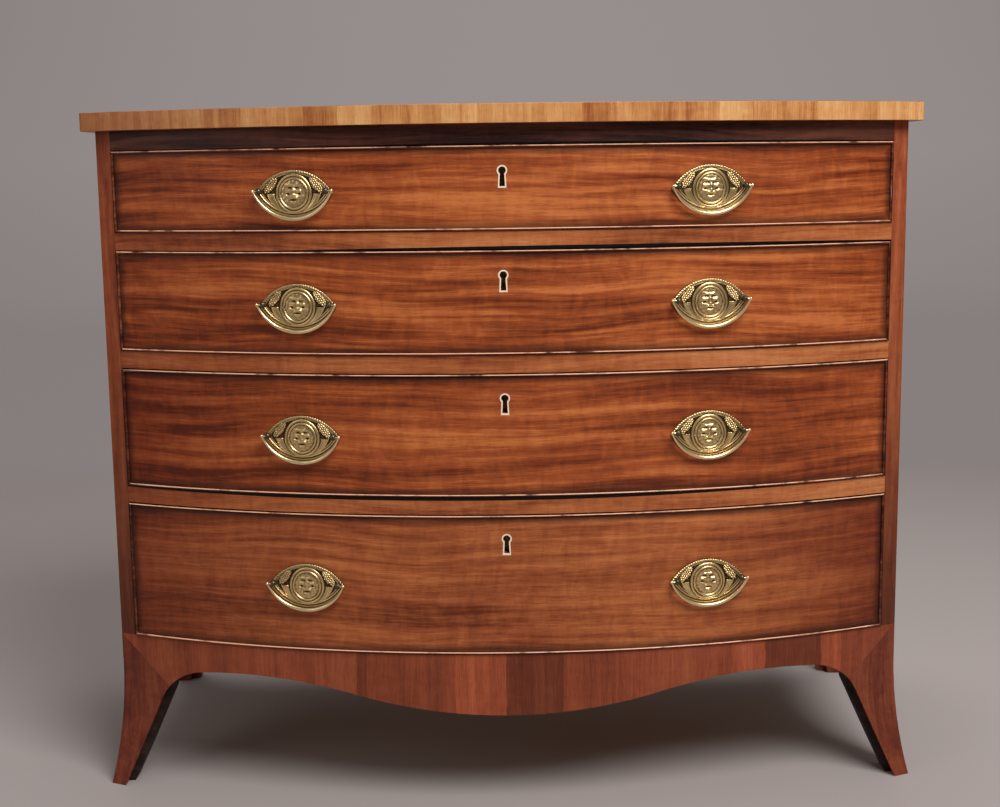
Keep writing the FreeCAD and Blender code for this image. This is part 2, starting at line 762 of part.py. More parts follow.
def lying_cylinder(label, radius, left, right):
    """Return a cylinder about the x axis between two planes."""
    piece = document.addObject("Part::Cylinder", label)
    piece.Label = label
    piece.setExpression("Radius", spelled(radius))
    piece.setExpression("Height", spelled(f"{right} - ({left})"))
    piece.Placement.Rotation = FreeCAD.Rotation(Vector(0, 1, 0), 90)
    place(piece, left)
    return piece


def set_along_bail(piece, share):
    """Set a round piece square to the bail's arc at a share of the way up from its middle."""
    angle = f"(bail_sweep_angle * {share})"
    turn = f"90 deg - {angle}"
    piece.Placement.Rotation = FreeCAD.Rotation(Vector(0, 1, 0), value(turn))
    piece.setExpression("Placement.Rotation.Angle", spelled(turn))
    place(piece, f"bail_curve * sin({angle})", "0", f"bail_centre - bail_curve * cos({angle})")


def make_bail():
    """Make the bail about its pins: a wire, thick below, with a tip and a pin at each end."""
    sections = []
    for step in range(-BAIL_STEPS, BAIL_STEPS + 1):
        share = f"({step} / {BAIL_STEPS})"
        section = document.addObject("Part::Circle", f"bail_section_{step + BAIL_STEPS}")
        section.setExpression("Radius", spelled("bail_end_radius + (bail_radius - bail_end_radius)"
                                                f" * (1 - {share}^2)"))
        set_along_bail(section, share)
        sections.append(section)
    wire = document.addObject("Part::Loft", "bail_wire")
    wire.Sections = sections
    wire.Solid = True
    wire.Ruled = True
    shoulder = document.addObject("Part::Cylinder", "bail_shoulder_right")
    shoulder.setExpression("Radius", spelled("bail_end_radius"))
    shoulder.setExpression("Height", spelled("bail_straight"))
    set_along_bail(shoulder, "1")
    pin = lying_cylinder("bail_pin_right", "bail_pin_radius", "bail_start - bail_gap - bail_pin_length",
                         "bail_tip_x")
    tip = lying_cylinder("bail_tip_right", "bail_tip_radius", "bail_tip_x - bail_tip_radius",
                         "bail_tip_x + bail_tip_radius")
    ends = [shoulder, pin, tip]
    bail = fuse("bail", wire, *ends, *[mirrored(f"{end.Name}_mirrored", end) for end in ends])
    hung = document.addObject("Part::Compound", "bail_hung")
    hung.Links = [bail]
    hung.Placement.Rotation = FreeCAD.Rotation(Vector(1, 0, 0), 1)
    hung.setExpression("Placement.Rotation.Angle", "places.bail_rest_angle")
    place(hung, "0", "-post_reach", "post_rise")
    return hung


def set_handle(label, *pieces):
    """Return the pieces of a right-hand handle moved to their place on the bow, at floor level."""
    group = document.addObject("Part::Compound", label)
    group.Label = label
    group.Links = list(pieces)
    group.Placement.Rotation = FreeCAD.Rotation(Vector(0, 0, 1), 1)
    group.setExpression("Placement.Rotation.Angle", "places.handle_angle")
    place(group, "handle_place", "handle_y", "0")
    return group


# --- Drawers ------------------------------------------------------------------------------------

def keyhole_outline(grow):
    """Return a keyhole about the middle of its round head, grown by a rule."""
    radius, neck = f"(keyhole_radius + {grow})", f"(keyhole_neck + {grow})"
    foot, low = f"(keyhole_flare + {grow})", f"-(keyhole_length + {grow})"
    shoulder = f"-sqrt({radius}^2 - {neck}^2)"
    return [
        (f"-{foot}", low),
        (foot, low),
        (neck, shoulder, radius, 1),
        ("0", radius, radius, 1),
        (f"-{neck}", shoulder),
    ]


def bead_across(label, edge, inward):
    """Return a mitred bead, its nose eased, along a drawer's edge.

    inward is 1 along the lower edge and -1 along the upper one.
    """
    inner = f"{edge} + {inward} * bead_width"
    low, high = (edge, inner) if inward > 0 else (inner, edge)
    nose, neck = "-(bow_radius + bead_proud)", "-(bow_radius + bead_proud - bead_nose)"
    ring = turned(f"{label}_ring", "YZ", [
        ("-(bow_radius - bead_seat)", low),
        (neck, low),
        (nose, f"{low} + bead_nose"),
        (nose, f"{high} - bead_nose"),
        (neck, high),
        ("-(bow_radius - bead_seat)", high),
    ], "V_Axis", across="bow_y", angle=FLARE_ANGLE)
    mitres = prism(f"{label}_mitres", "XZ", [
        ("-drawer_half", edge),
        ("drawer_half", edge),
        ("drawer_half - bead_width", inner),
        ("-drawer_half + bead_width", inner),
    ], BEAD_REACH, f"front_y - {PAST}")
    return common(label, ring, mitres)


def make_tails(label, low, height):
    """Return the lapped dovetails that tie a drawer's right-hand lining to its front."""
    count = max(2, round(value(f"{height} / tail_pitch")))
    root_y = f"{bow('bow_radius - front_thickness', 'drawer_half')} + tail_lap"
    tails = []
    for index in range(count):
        middle = f"({low} + {height} * {2 * index + 1} / {2 * count})"
        tip = f"{height} / {count} * tail_share / 2"
        root = f"({tip} - ({root_y} - tail_y) / tail_slope)"
        tails.append(prism(f"{label}_{index + 1}", "YZ", [
            ("tail_y", f"{middle} + {tip}"),
            ("tail_y", f"{middle} - {tip}"),
            (root_y, f"{middle} - {root}"),
            (root_y, f"{middle} + {root}"),
        ], "lining_thickness", "drawer_half - lining_thickness"))
    return fuse(label, *tails)


def make_drawer(number, handle):
    """Make one drawer: front, beads, linings, bottom, escutcheon, lock and handles."""
    name = f"drawer_{number}"
    low = f"(floor_{number} + runner_gap)"
    high = f"(floor_{number} + drawer_{number}_height - drawer_top_gap)"
    handle_up = f"floor_{number} + drawer_{number}_height / 2 - handle_drop"
    inside = "bow_radius - front_thickness"
    seat = "bow_radius - bead_seat"
    lining_in = "drawer_half - lining_thickness"

    blank = new_body(f"{name}_blank")
    add_pad(blank, f"{name}_back_layer", "XY", bow_strip(seat, inside, "drawer_half"),
            f"{high} - {low}", low)
    add_pad(blank, f"{name}_face_layer", "XY", bow_strip("bow_radius", seat, "drawer_half - bead_width"),
            f"{high} - {low} - 2 * bead_width", f"{low} + bead_width")

    bottom_low = f"{low} + bottom_rise"
    bottom = prism(f"{name}_bottom_blank", "XY",
                   bow_panel(f"{inside} + groove_depth", f"{lining_in} + groove_depth", "drawer_end_y"),
                   "drawer_bottom_thickness", bottom_low)
    side_plan = [
        (lining_in, bow(inside, lining_in), inside, 1),
        ("drawer_half", bow(inside, "drawer_half")),
        ("drawer_half", "drawer_end_y"),
        (lining_in, "drawer_end_y"),
    ]
    side_height = f"({high} - {low} - lining_drop)"
    tails = make_tails(f"{name}_tails_right", low, side_height)
    side = fuse(f"{name}_side_whole", prism(f"{name}_side_blank", "XY", side_plan, side_height, low), tails)
    grooved = cut(f"{name}_side_right", side, bottom)
    back = box(f"{name}_back", f"-({lining_in})", lining_in, "drawer_end_y - drawer_back_thickness",
               "drawer_end_y", f"{bottom_low} + drawer_bottom_thickness", f"{high} - 2 * lining_drop")
    node(f"{name}_bottom", bottom)
    node(f"{name}_linings", grooved, mirrored(f"{name}_side_left", grooved), back)

    across = bead_across(f"{name}_bead_low", low, 1)
    above = bead_across(f"{name}_bead_high", high, -1)
    nose, neck = "bow_radius + bead_proud", "bow_radius + bead_proud - bead_nose"
    upright_in = "drawer_half - bead_width"
    upright_plan = [
        (upright_in, bow(neck, upright_in)),
        (f"{upright_in} + bead_nose", bow(nose, f"{upright_in} + bead_nose")),
        ("drawer_half - bead_nose", bow(nose, "drawer_half - bead_nose")),
        ("drawer_half", bow(neck, "drawer_half")),
        ("drawer_half", bow(seat, "drawer_half"), seat, -1),
        (upright_in, bow(seat, upright_in)),
    ]
    mitres = prism(f"{name}_bead_right_mitres", "XZ", [
        ("drawer_half", low),
        ("drawer_half", high),
        (upright_in, f"{high} - bead_width"),
        (upright_in, f"{low} + bead_width"),
    ], BEAD_REACH, f"front_y - {PAST}")
    upright = common(f"{name}_bead_right", mitres,
                     prism(f"{name}_bead_right_blank", "XY", upright_plan, f"{high} - {low}", low))
    node(f"{name}_cock_beads", across, above, upright, mirrored(f"{name}_bead_left", upright))

    key_up = f"{high} - bead_width / 2 - keyhole_drop + (keyhole_length - keyhole_radius) / 2"
    keyhole = prism(f"{name}_keyhole", "XZ", keyhole_outline("0"),
                    "front_thickness - lock_thickness / 2 + bead_proud", "front_y - bead_proud", "0", key_up)
    rim = prism(f"{name}_rim", "XZ", keyhole_outline("escutcheon_band"),
                "escutcheon_depth", "front_y", "0", key_up)
    rim_seat = prism(f"{name}_rim_seat", "XZ", keyhole_outline("escutcheon_band"),
                     "escutcheon_depth + bead_proud", "front_y - bead_proud", "0", key_up)
    node(f"{name}_escutcheon", cut(f"{name}_rim_pierced", rim, keyhole))

    lock_case = box(f"{name}_lock_case", "-lock_width / 2", "lock_width / 2", "lock_y", "front_back_y",
                    f"{high} - lock_height", high)
    bolt_top = f"{high} - bolt_drop"
    bolt = box(f"{name}_bolt", "-bolt_width / 2", "bolt_width / 2", "bolt_y - bolt_thickness / 2",
               "bolt_y + bolt_thickness / 2", f"{bolt_top} - bolt_length", bolt_top)
    channel = box(f"{name}_bolt_channel", "-bolt_width / 2 - bolt_gap", "bolt_width / 2 + bolt_gap",
                  "bolt_y - bolt_thickness / 2 - bolt_gap", "bolt_y + bolt_thickness / 2 + bolt_gap",
                  f"{bolt_top} - bolt_length - bolt_gap", f"{high} + {PAST}")
    node(f"{name}_lock", cut(f"{name}_lock_cut", lock_case, channel, keyhole))
    node(f"{name}_lock_bolt", bolt)

    plate, posts, nuts, bail = handle
    right_posts = set_handle(f"{name}_posts_right", *posts)
    place(right_posts, "handle_place", "handle_y", handle_up)
    lock_space = box(f"{name}_lock_space", "-lock_width / 2", "lock_width / 2", "lock_y",
                     f"front_back_y + {PAST}", f"{high} - lock_height", f"{high} + {PAST}")
    left_posts = mirrored(f"{name}_posts_left", right_posts)
    node(f"{name}_front", cut(f"{name}_front_cut", blank, bottom, keyhole, rim_seat, lock_space,
                              right_posts, left_posts, tails, mirrored(f"{name}_tails_left", tails)))

    right_plate = set_handle(f"{name}_plate_right", plate)
    node(f"{name}_handle_plates", right_plate, mirrored(f"{name}_plate_left", right_plate), up=handle_up)
    right_nuts = set_handle(f"{name}_nuts_right", *nuts)
    place(right_nuts, "handle_place", "handle_y", handle_up)
    node(f"{name}_handle_posts", right_posts, left_posts, right_nuts,
         mirrored(f"{name}_nuts_left", right_nuts))
    right_bail = set_handle(f"{name}_bail_set", bail)
    node(f"{name}_bail_right", right_bail, up=handle_up)
    node(f"{name}_bail_left", mirrored(f"{name}_bail_mirrored", right_bail), up=handle_up)


def check_and_write():
    """Stop on a failed feature or a bad shape, then write one STEP file for each sub-part."""
    document.recompute()
    for feature in document.Objects:
        if {"Invalid", "Error"} & set(feature.State):
            raise RuntimeError(f"{feature.Label} failed: {feature.State} {feature.getStatusString()}")
    for piece in NODES:
        if piece.Shape.isNull() or not piece.Shape.isValid() or not piece.Shape.Solids:
            raise RuntimeError(f"{piece.Label} has no valid shape")
    os.makedirs("parts", exist_ok=True)
    for piece in NODES:
        piece.Shape.exportStep(f"parts/{piece.Label}.step")
        corners = piece.Shape.BoundBox
        print(f"{piece.Label}: {len(piece.Shape.Solids)} solids, {piece.Shape.Volume:.0f} mm3, "
              f"x {corners.XMin:.1f} {corners.XMax:.1f}, y {corners.YMin:.1f} {corners.YMax:.1f}, "
              f"z {corners.ZMin:.1f} {corners.ZMax:.1f}")


make_case()
make_feet(make_front_apron())
drawer_handle = make_handle()
for drawer_number in DRAWERS:
    make_drawer(drawer_number, drawer_handle)
check_and_write()
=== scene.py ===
"""Looks of a bow front chest of drawers: waxed mahogany, oak linings and stamped brass handles.

Lengths are in metres, the front faces -Y and the floor is at z = 0.
"""
from __future__ import annotations

import json
import logging
import math
from dataclasses import dataclass, replace
from enum import Enum
from typing import Callable, Iterable, Sequence

import bmesh
import bpy
from mathutils import Matrix, Vector


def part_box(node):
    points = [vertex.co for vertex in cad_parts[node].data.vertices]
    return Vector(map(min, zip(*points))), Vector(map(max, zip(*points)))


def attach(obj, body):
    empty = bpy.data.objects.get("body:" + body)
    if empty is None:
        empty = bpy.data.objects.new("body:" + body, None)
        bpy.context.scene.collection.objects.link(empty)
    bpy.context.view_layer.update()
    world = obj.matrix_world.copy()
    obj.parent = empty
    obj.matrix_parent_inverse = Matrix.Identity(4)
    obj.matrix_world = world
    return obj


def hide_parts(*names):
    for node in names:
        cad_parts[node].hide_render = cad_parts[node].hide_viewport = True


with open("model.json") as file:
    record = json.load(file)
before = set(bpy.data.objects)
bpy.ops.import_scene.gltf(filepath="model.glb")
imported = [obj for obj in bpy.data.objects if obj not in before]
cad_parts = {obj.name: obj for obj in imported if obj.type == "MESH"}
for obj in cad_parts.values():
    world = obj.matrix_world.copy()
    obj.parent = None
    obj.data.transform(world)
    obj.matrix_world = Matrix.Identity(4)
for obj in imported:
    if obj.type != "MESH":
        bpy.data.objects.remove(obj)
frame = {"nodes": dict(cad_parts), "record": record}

logging.basicConfig(level=logging.INFO, format="%(name)s: %(message)s")
LOG = logging.getLogger("chest")

Material = bpy.types.Material
Mesh = bmesh.types.BMesh
Pair = tuple[float, float]
Triple = tuple[float, float, float]
Quad = tuple[float, float, float, float]
Rgb = tuple[int, int, int]
Socket = bpy.types.NodeSocket
Source = Socket | float | Sequence[float]

DRAWERS = (1, 2, 3, 4)
MM = 0.001
# The wax that age leaves along the rim of a panel, and the painted shade inside a gap.
OLD_WAX: Rgb = (38, 16, 12)
GAP_SHADE: Rgb = (6, 3, 2)
# Where on the figure a wood's dark, middle and light tones are.
TONE_STOPS = (0.26, 0.50, 0.74)
# How far one veneer leaf is from the next on the sine that gives their tones.
LEAF_STEP = 2.3
# The power by which green and blue fall off in the soft painted shade, so that what it darkens turns redder.
REDDENING = 1.6
# How light the apron's strips of veneer are.
DARK, PLAIN, LIGHT = 0.6, 0.95, 1.25
# A face whose normal rises less than this is an upright one.
UPRIGHT = 0.7
# Edges that turn more than this many degrees are worn round, and those that stay sharp in shading.
WORN_EDGE = 30.0
SHARP_SHADE = 35.0


def linear(red: int, green: int, blue: int) -> Quad:
    """Return a screen colour given in 0 to 255 as a linear colour with alpha."""
    def channel(value: int) -> float:
        """Return one channel made linear."""
        share = value / 255
        return share / 12.92 if share <= 0.04045 else ((share + 0.055) / 1.055) ** 2.4

    return channel(red), channel(green), channel(blue), 1.0


def shade_to_ends(left: float, right: float) -> tuple[Pair, ...]:
    """Return the tones along X of a board with painted shade towards its ends."""
    return (-0.5, left), (-0.22, 1.0), (0.22, 1.0), (0.5, right)


class Axis(Enum):
    """The way the grain runs in a piece of wood."""

    ACROSS = 0
    DEEP = 1
    UP = 2


class Graph:
    """A material's node tree, with short calls that add and link nodes."""

    def __init__(self, name: str) -> None:
        """Start a material with only a shader and an output.

        Args:
            name: The material's name.
        """
        self.material = bpy.data.materials.new(name)
        self.material.use_nodes = True
        self.tree = self.material.node_tree
        self.tree.nodes.clear()
        self.shader = self.tree.nodes.new("ShaderNodeBsdfPrincipled")
        output = self.tree.nodes.new("ShaderNodeOutputMaterial")
        self.tree.links.new(self.shader.outputs["BSDF"], output.inputs["Surface"])
        self.place = self.tree.nodes.new("ShaderNodeTexCoord").outputs["Object"]

    def feed(self, socket: Socket, source: Source) -> None:
        """Link a socket to source, or set it where source is a plain value."""
        if isinstance(source, bpy.types.NodeSocket):
            self.tree.links.new(source, socket)
        else:
            socket.default_value = source

    def add(self, kind: str, sockets: dict[str | int, Source], **settings: object) -> bpy.types.Node:
        """Add a node.

        Args:
            kind: The node's type.
            sockets: Input sockets by name or number, with their sources.
            settings: The node's own properties.

        Returns:
            The node.
        """
        node = self.tree.nodes.new(kind)
        for name, value in settings.items():
            setattr(node, name, value)
        for name, source in sockets.items():
            self.feed(node.inputs[name], source)
        return node

    def math(self, operation: str, *sources: Source, clamp: bool = False) -> Socket:
        """Return the result of a Math node."""
        node = self.add("ShaderNodeMath", dict(enumerate(sources)), operation=operation, use_clamp=clamp)
        return node.outputs[0]

    def mix(self, share: Source, first: Source, second: Source, blend: str = "MIX") -> Socket:
        """Return two colours mixed."""
        node = self.add("ShaderNodeMix", {0: share, 6: first, 7: second}, data_type="RGBA", blend_type=blend)
        return node.outputs[2]

    def ramp(self, share: Source, stops: Iterable[tuple[float, Sequence[float]]],
             mode: str = "LINEAR") -> Socket:
        """Return a colour ramp's colour.

        Args:
            share: Where on the ramp.
            stops: Places and their colours, in order.
            mode: How the ramp runs between them.
        """
        node = self.add("ShaderNodeValToRGB", {0: share})
        node.color_ramp.interpolation = mode
        elements = node.color_ramp.elements
        for index, (spot, colour) in enumerate(stops):
            element = elements[index] if index < 2 else elements.new(spot)
            element.position = spot
            element.color = colour
        return node.outputs[0]

    def noise(self, stretch: Sequence[float], detail: float = 2.0, roughness: float = 0.5,
              warp: float = 0.0, shift: float = 0.0) -> Socket:
        """Return a noise whose cells per metre are given for each axis.

        Args:
            stretch: Cells per metre along X, Y and Z.
            detail: How many finer layers it has.
            roughness: How strong the finer layers are.
            warp: How far it is distorted.
            shift: A move of the pattern that makes one piece differ from another.
        """
        mapping = self.add("ShaderNodeMapping", {"Vector": self.place, "Location": (shift, shift / 2, -shift),
                                                 "Scale": stretch})
        node = self.add("ShaderNodeTexNoise", {"Vector": mapping.outputs[0], "Scale": 1.0, "Detail": detail,
                                               "Roughness": roughness, "Distortion": warp})
        return node.outputs["Fac"]

    def wave(self, cells: float, reach: float) -> None:
        """Let every later pattern wander, as grain does.

        Args:
            cells: Bends per metre.
            reach: How far the pattern is drawn aside, in metres.
        """
        noise = self.add("ShaderNodeTexNoise", {"Vector": self.place, "Scale": cells, "Detail": 1.0})
        aside = self.add("ShaderNodeVectorMath", {0: noise.outputs["Color"], 1: (0.5, 0.5, 0.5)},
                         operation="SUBTRACT")
        sockets = {0: aside.outputs[0], 1: (reach, reach, reach), 2: self.place}
        moved = self.add("ShaderNodeVectorMath", sockets, operation="MULTIPLY_ADD")
        self.place = moved.outputs[0]

    def leaves(self, width: float, drop: float, start: float) -> Socket:
        """Break every later pattern at the joints between veneer leaves.

        Args:
            width: How wide a leaf is, in metres.
            drop: How far the pattern moves up from one leaf to the next.
            start: Where along X a joint is.

        Returns:
            The number of the leaf.
        """
        across = self.math("SUBTRACT", self.axes()[0], start)
        number = self.math("FLOOR", self.math("DIVIDE", across, width))
        raised = self.add("ShaderNodeCombineXYZ", {2: self.math("MULTIPLY", number, drop)})
        moved = self.add("ShaderNodeVectorMath", {0: self.place, 1: raised.outputs[0]}, operation="ADD")
        self.place = moved.outputs[0]
        return number

    def step(self, value: Source, low: float, high: float) -> Socket:
        """Return 0 below low, 1 above high and a smooth rise between."""
        node = self.add("ShaderNodeMapRange", {"Value": value, "From Min": low, "From Max": high},
                        interpolation_type="SMOOTHSTEP")
        return node.outputs[0]

    def axes(self) -> list[Socket]:
        """Return the X, Y and Z of the point that is shaded."""
        return list(self.add("ShaderNodeSeparateXYZ", {0: self.place}).outputs)

    def bump(self, height: Source, depth: float) -> None:
        """Give the surface a relief.

        Args:
            height: The relief, 0 to 1.
            depth: How deep it is, in metres.
        """
        node = self.add("ShaderNodeBump", {"Height": height, "Distance": depth, "Strength": 1.0})
        self.feed(self.shader.inputs["Normal"], node.outputs[0])


@dataclass(frozen=True)
class Wood:
    """A piece's wood: its colours, which way its grain runs and how lively the figure is."""

    name: str
    dark: Rgb
    middle: Rgb
    light: Rgb
    grain: Axis = Axis.ACROSS
    figure: float = 1.0
    mottle: float = 0.5
    gloss: float = 0.4
    coat: float = 0.05
    shift: float = 0.0
    # Whether the grain follows the bow of the front.
    bowed: bool = True
    # How far the grain wanders, in metres.
    wander: float = 0.045
    # How wide the veneer leaves are, where a joint is and how much they differ; none where the width is 0.
    leaf: float = 0.0
    joint: float = 0.0
    leaf_tone: float = 0.05
    # The edges that wax and dirt have darkened, as (low x, high x, low z, high z).
    panel: Quad | None = None
    rim: float = 0.008
    rim_strength: float = 0.7
    # Painted shade: dark lines along X where a drawer would stand open a little: low z, high z and where each
    # fades out.
    gaps: tuple[Quad, ...] = ()
    # Tones along X, each with where it starts and how light it is: veneers laid side by side, and, where
    # soft, painted shade towards a board's ends.
    veneers_and_shade: tuple[Pair, ...] = ()
    # Whether one tone passes softly into the next, as painted shade does, and how dark painted shade makes
    # the foot of the piece.
    soft: bool = False
    foot_shade: float = 1.0
    # Painted highlight: pale on the faces that slant up, laid in patches like wear.
    worn: Rgb | None = None

    def stretched(self, along: float, across: float) -> Triple:
        """Return cells per metre for a pattern drawn out along the grain, round the bow too."""
        cells = [across, across, across]
        cells[self.grain.value] = along
        if self.bowed and self.grain is Axis.ACROSS:
            cells[Axis.DEEP.value] = along
        return cells[0], cells[1], cells[2]

    def tone(self, graph: Graph) -> tuple[Socket, Socket]:
        """Return how light the figure is, 0 to 1, and its finest layer, the fibres."""
        straight = graph.place
        fibres = graph.noise(self.stretched(40, 1100), 2, 0.6, 0.0, self.shift + 7)
        number = graph.leaves(self.leaf, 0.013, self.joint) if self.leaf else 0.0
        graph.wave(3.5, self.wander)
        layers = (
            (1.1 * self.figure, graph.noise(self.stretched(4.0, 75), 2, 0.5, 0.3, self.shift)),
            (0.6 * self.figure, graph.noise(self.stretched(9, 240), 2, 0.6, 0.3, self.shift + 3)),
            (0.9 * self.mottle, graph.noise(self.stretched(2.2, 9), 1, 0.5, 0.4, self.shift + 11)),
            (0.45 * self.mottle, graph.noise(self.stretched(75, 34), 2, 0.6, 0.8, self.shift + 17)),
            (0.35, fibres),
        )
        swing = graph.math("SINE", graph.math("MULTIPLY", number, LEAF_STEP))
        tone = graph.math("MULTIPLY_ADD", swing, self.leaf_tone, 0.5)
        for weight, layer in layers:
            tone = graph.math("MULTIPLY_ADD", graph.math("SUBTRACT", layer, 0.5), weight, tone)
        graph.place = straight
        return tone, fibres

    def material(self) -> Material:
        """Return the wood as a material."""
        graph = Graph(self.name)
        tone, fibres = self.tone(graph)
        tones = [linear(*shade) for shade in (self.dark, self.middle, self.light)]
        colour = graph.ramp(tone, zip(TONE_STOPS, tones))
        pores = graph.step(graph.noise(self.stretched(70, 1300), 1, 0.5, 0.0, self.shift + 23), 0.6, 0.72)
        colour = graph.mix(graph.math("MULTIPLY", pores, 0.4), colour, linear(*self.dark))
        # Veneers, and for soft woods painted shade that darkens the ends.
        if self.veneers_and_shade:
            colour = graph.mix(1.0, colour, self.veneer_and_shade_tones(graph), "MULTIPLY")
        # Painted shade: the piece darkens towards its foot, as if less light reached it there.
        if self.foot_shade < 1.0:
            rise = graph.step(graph.axes()[2], 0.1, 0.75)
            shade = graph.math("MULTIPLY_ADD", rise, 1.0 - self.foot_shade, self.foot_shade)
            colour = graph.mix(1.0, colour, shade, "MULTIPLY")
        # Painted highlight on the faces that slant up, in patches like wear.
        if self.worn:
            facing = graph.add("ShaderNodeNewGeometry", {}).outputs["True Normal"]
            up = graph.add("ShaderNodeSeparateXYZ", {0: facing})
            patches = graph.step(graph.noise((30, 30, 30), 3, 0.6), 0.3, 0.5)
            slanted = graph.math("MULTIPLY", graph.step(up.outputs[2], 0.15, 0.5),
                                 graph.math("SUBTRACT", 1.0, graph.step(up.outputs[2], 0.9, 0.99)))
            pale = graph.math("MULTIPLY", slanted, patches)
            colour = graph.mix(pale, colour, linear(*self.worn))
        if self.panel:
            colour = graph.mix(self.dirt(graph), colour, linear(*OLD_WAX))
        # Painted shade of the gaps beside the drawers.
        if self.gaps:
            colour = graph.mix(self.gap_shadow(graph), colour, linear(*GAP_SHADE))
        graph.feed(graph.shader.inputs["Base Color"], colour)
        rough = graph.math("MULTIPLY_ADD", tone, 0.12, self.gloss - 0.06)
        graph.feed(graph.shader.inputs["Roughness"], rough)
        graph.shader.inputs["Coat Weight"].default_value = self.coat
        graph.shader.inputs["Coat Roughness"].default_value = 0.2
        graph.shader.inputs["Specular IOR Level"].default_value = 0.22
        graph.bump(graph.math("SUBTRACT", fibres, graph.math("MULTIPLY", pores, 0.5)), 0.0001)
        return graph.material

    def veneer_and_shade_tones(self, graph: Graph) -> Socket:
        """Return how light the wood is along X, as a grey: veneer by veneer, and where soft the painted shade
        towards the ends.
        """
        across = graph.axes()[0]
        low = self.veneers_and_shade[0][0]
        span = self.veneers_and_shade[-1][0] - low
        share = graph.math("DIVIDE", graph.math("SUBTRACT", across, low), span)
        wobble = graph.math("MULTIPLY", graph.math("SUBTRACT", graph.noise((6, 6, 60), 2), 0.5), 0.004)
        share = graph.math("ADD", share, wobble)
        power = REDDENING if self.soft else 1.0
        stops = [((start - low) / span, (tone, tone ** power * 0.98, tone ** power * 0.96, 1.0))
                 for start, tone in self.veneers_and_shade]
        return graph.ramp(share, stops, "LINEAR" if self.soft else "CONSTANT")

    def dirt(self, graph: Graph) -> Socket:
        """Return how much old wax darkens the rim of a panel."""
        across, _, up = graph.axes()
        left, right, low, high = self.panel
        gaps = [graph.math("SUBTRACT", across, left), graph.math("SUBTRACT", right, across),
                graph.math("SUBTRACT", up, low), graph.math("SUBTRACT", high, up)]
        nearest = graph.math("MINIMUM", graph.math("MINIMUM", gaps[0], gaps[1]),
                             graph.math("MINIMUM", gaps[2], gaps[3]))
        ragged = graph.noise((14, 14, 40), 3, 0.6)
        nearest = graph.math("SUBTRACT", nearest, graph.math("MULTIPLY", ragged, self.rim * 0.9))
        near = graph.math("SUBTRACT", 1.0, graph.step(nearest, -self.rim * 0.3, self.rim))
        return graph.math("MULTIPLY", near, self.rim_strength)

    def gap_shadow(self, graph: Graph) -> Socket:
        """Return where the painted shadow of the gaps beside the drawers is, 0 to 1."""
        across, _, up = graph.axes()
        dark: Source = 0.0
        for low, high, left, right in self.gaps:
            middle, half = (low + high) / 2, (high - low) / 2
            centre, reach = (left + right) / 2, (right - left) / 2
            aside = graph.math("DIVIDE", graph.math("SUBTRACT", across, centre), reach)
            width = graph.math("SUBTRACT", 1.0, graph.math("MULTIPLY", aside, aside), clamp=True)
            off = graph.math("ABSOLUTE", graph.math("SUBTRACT", up, middle))
            inside = graph.math("SUBTRACT", graph.math("MULTIPLY", width, half), off)
            dark = graph.math("MAXIMUM", dark, graph.step(inside, 0.0, 0.3 * MM))
        return dark


@dataclass(frozen=True)
class Brass:
    """Stamped brass: bright where hands rub it and brown in its hollows."""

    name: str
    bright: Rgb
    brown: Rgb
    tarnish: float
    roughness: float
    metallic: float = 1.0

    def material(self) -> Material:
        """Return the brass as a material, which darkens where the attribute named hollow is high."""
        graph = Graph(self.name)
        hollow = graph.add("ShaderNodeAttribute", {}, attribute_name="hollow").outputs["Fac"]
        spots = graph.noise((140, 140, 140), 4, 0.65)
        stain = graph.math("MULTIPLY", graph.step(spots, 0.42, 0.75), self.tarnish)
        share = graph.math("MAXIMUM", hollow, stain)
        colour = graph.mix(share, linear(*self.bright), linear(*self.brown))
        graph.feed(graph.shader.inputs["Base Color"], colour)
        graph.shader.inputs["Metallic"].default_value = self.metallic
        rough = graph.math("MULTIPLY_ADD", share, 0.3, self.roughness)
        graph.feed(graph.shader.inputs["Roughness"], rough)
        graph.bump(graph.noise((500, 500, 500), 2), 0.00001)
        return graph.material


def home_body(node: str) -> str:
    """Return the body that a node belongs to."""
    bodies = frame["record"]["behaviour"]["bodies"]
    return next(body for body, nodes in bodies.items() if node in nodes)


def finish_piece(bm: Mesh, name: str, material: Material, node: str) -> bpy.types.Object:
    """Turn a bmesh into a piece of the object.

    Args:
        bm: The mesh, which is freed.
        name: The piece's name.
        material: Its finish.
        node: The CAD node that it stands in for, whose body it takes.

    Returns:
        The piece.
    """
    mesh = bpy.data.meshes.new(name)
    bm.to_mesh(mesh)
    bm.free()
    mesh.materials.append(material)
    piece = bpy.data.objects.new(name, mesh)
    bpy.context.scene.collection.objects.link(piece)
    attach(piece, home_body(node))
    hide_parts(node)
    LOG.info("%s: %d faces", name, len(mesh.polygons))
    return piece


def smooth(bm: Mesh, sharp: float = SHARP_SHADE) -> None:
    """Shade a mesh smooth, apart from edges that turn more than sharp degrees."""
    for face in bm.faces:
        face.smooth = True
    for edge in bm.edges:
        edge.smooth = edge.calc_face_angle(0.0) < math.radians(sharp)


def merged_copy(node: str) -> Mesh:
    """Return a node's solids with their triangles joined and their flat faces whole."""
    bm = bmesh.new()
    bm.from_mesh(frame["nodes"][node].data)
    bmesh.ops.remove_doubles(bm, verts=bm.verts, dist=0.01 * MM)
    bmesh.ops.dissolve_limit(bm, angle_limit=math.radians(0.4), verts=bm.verts, edges=bm.edges)
    return bm


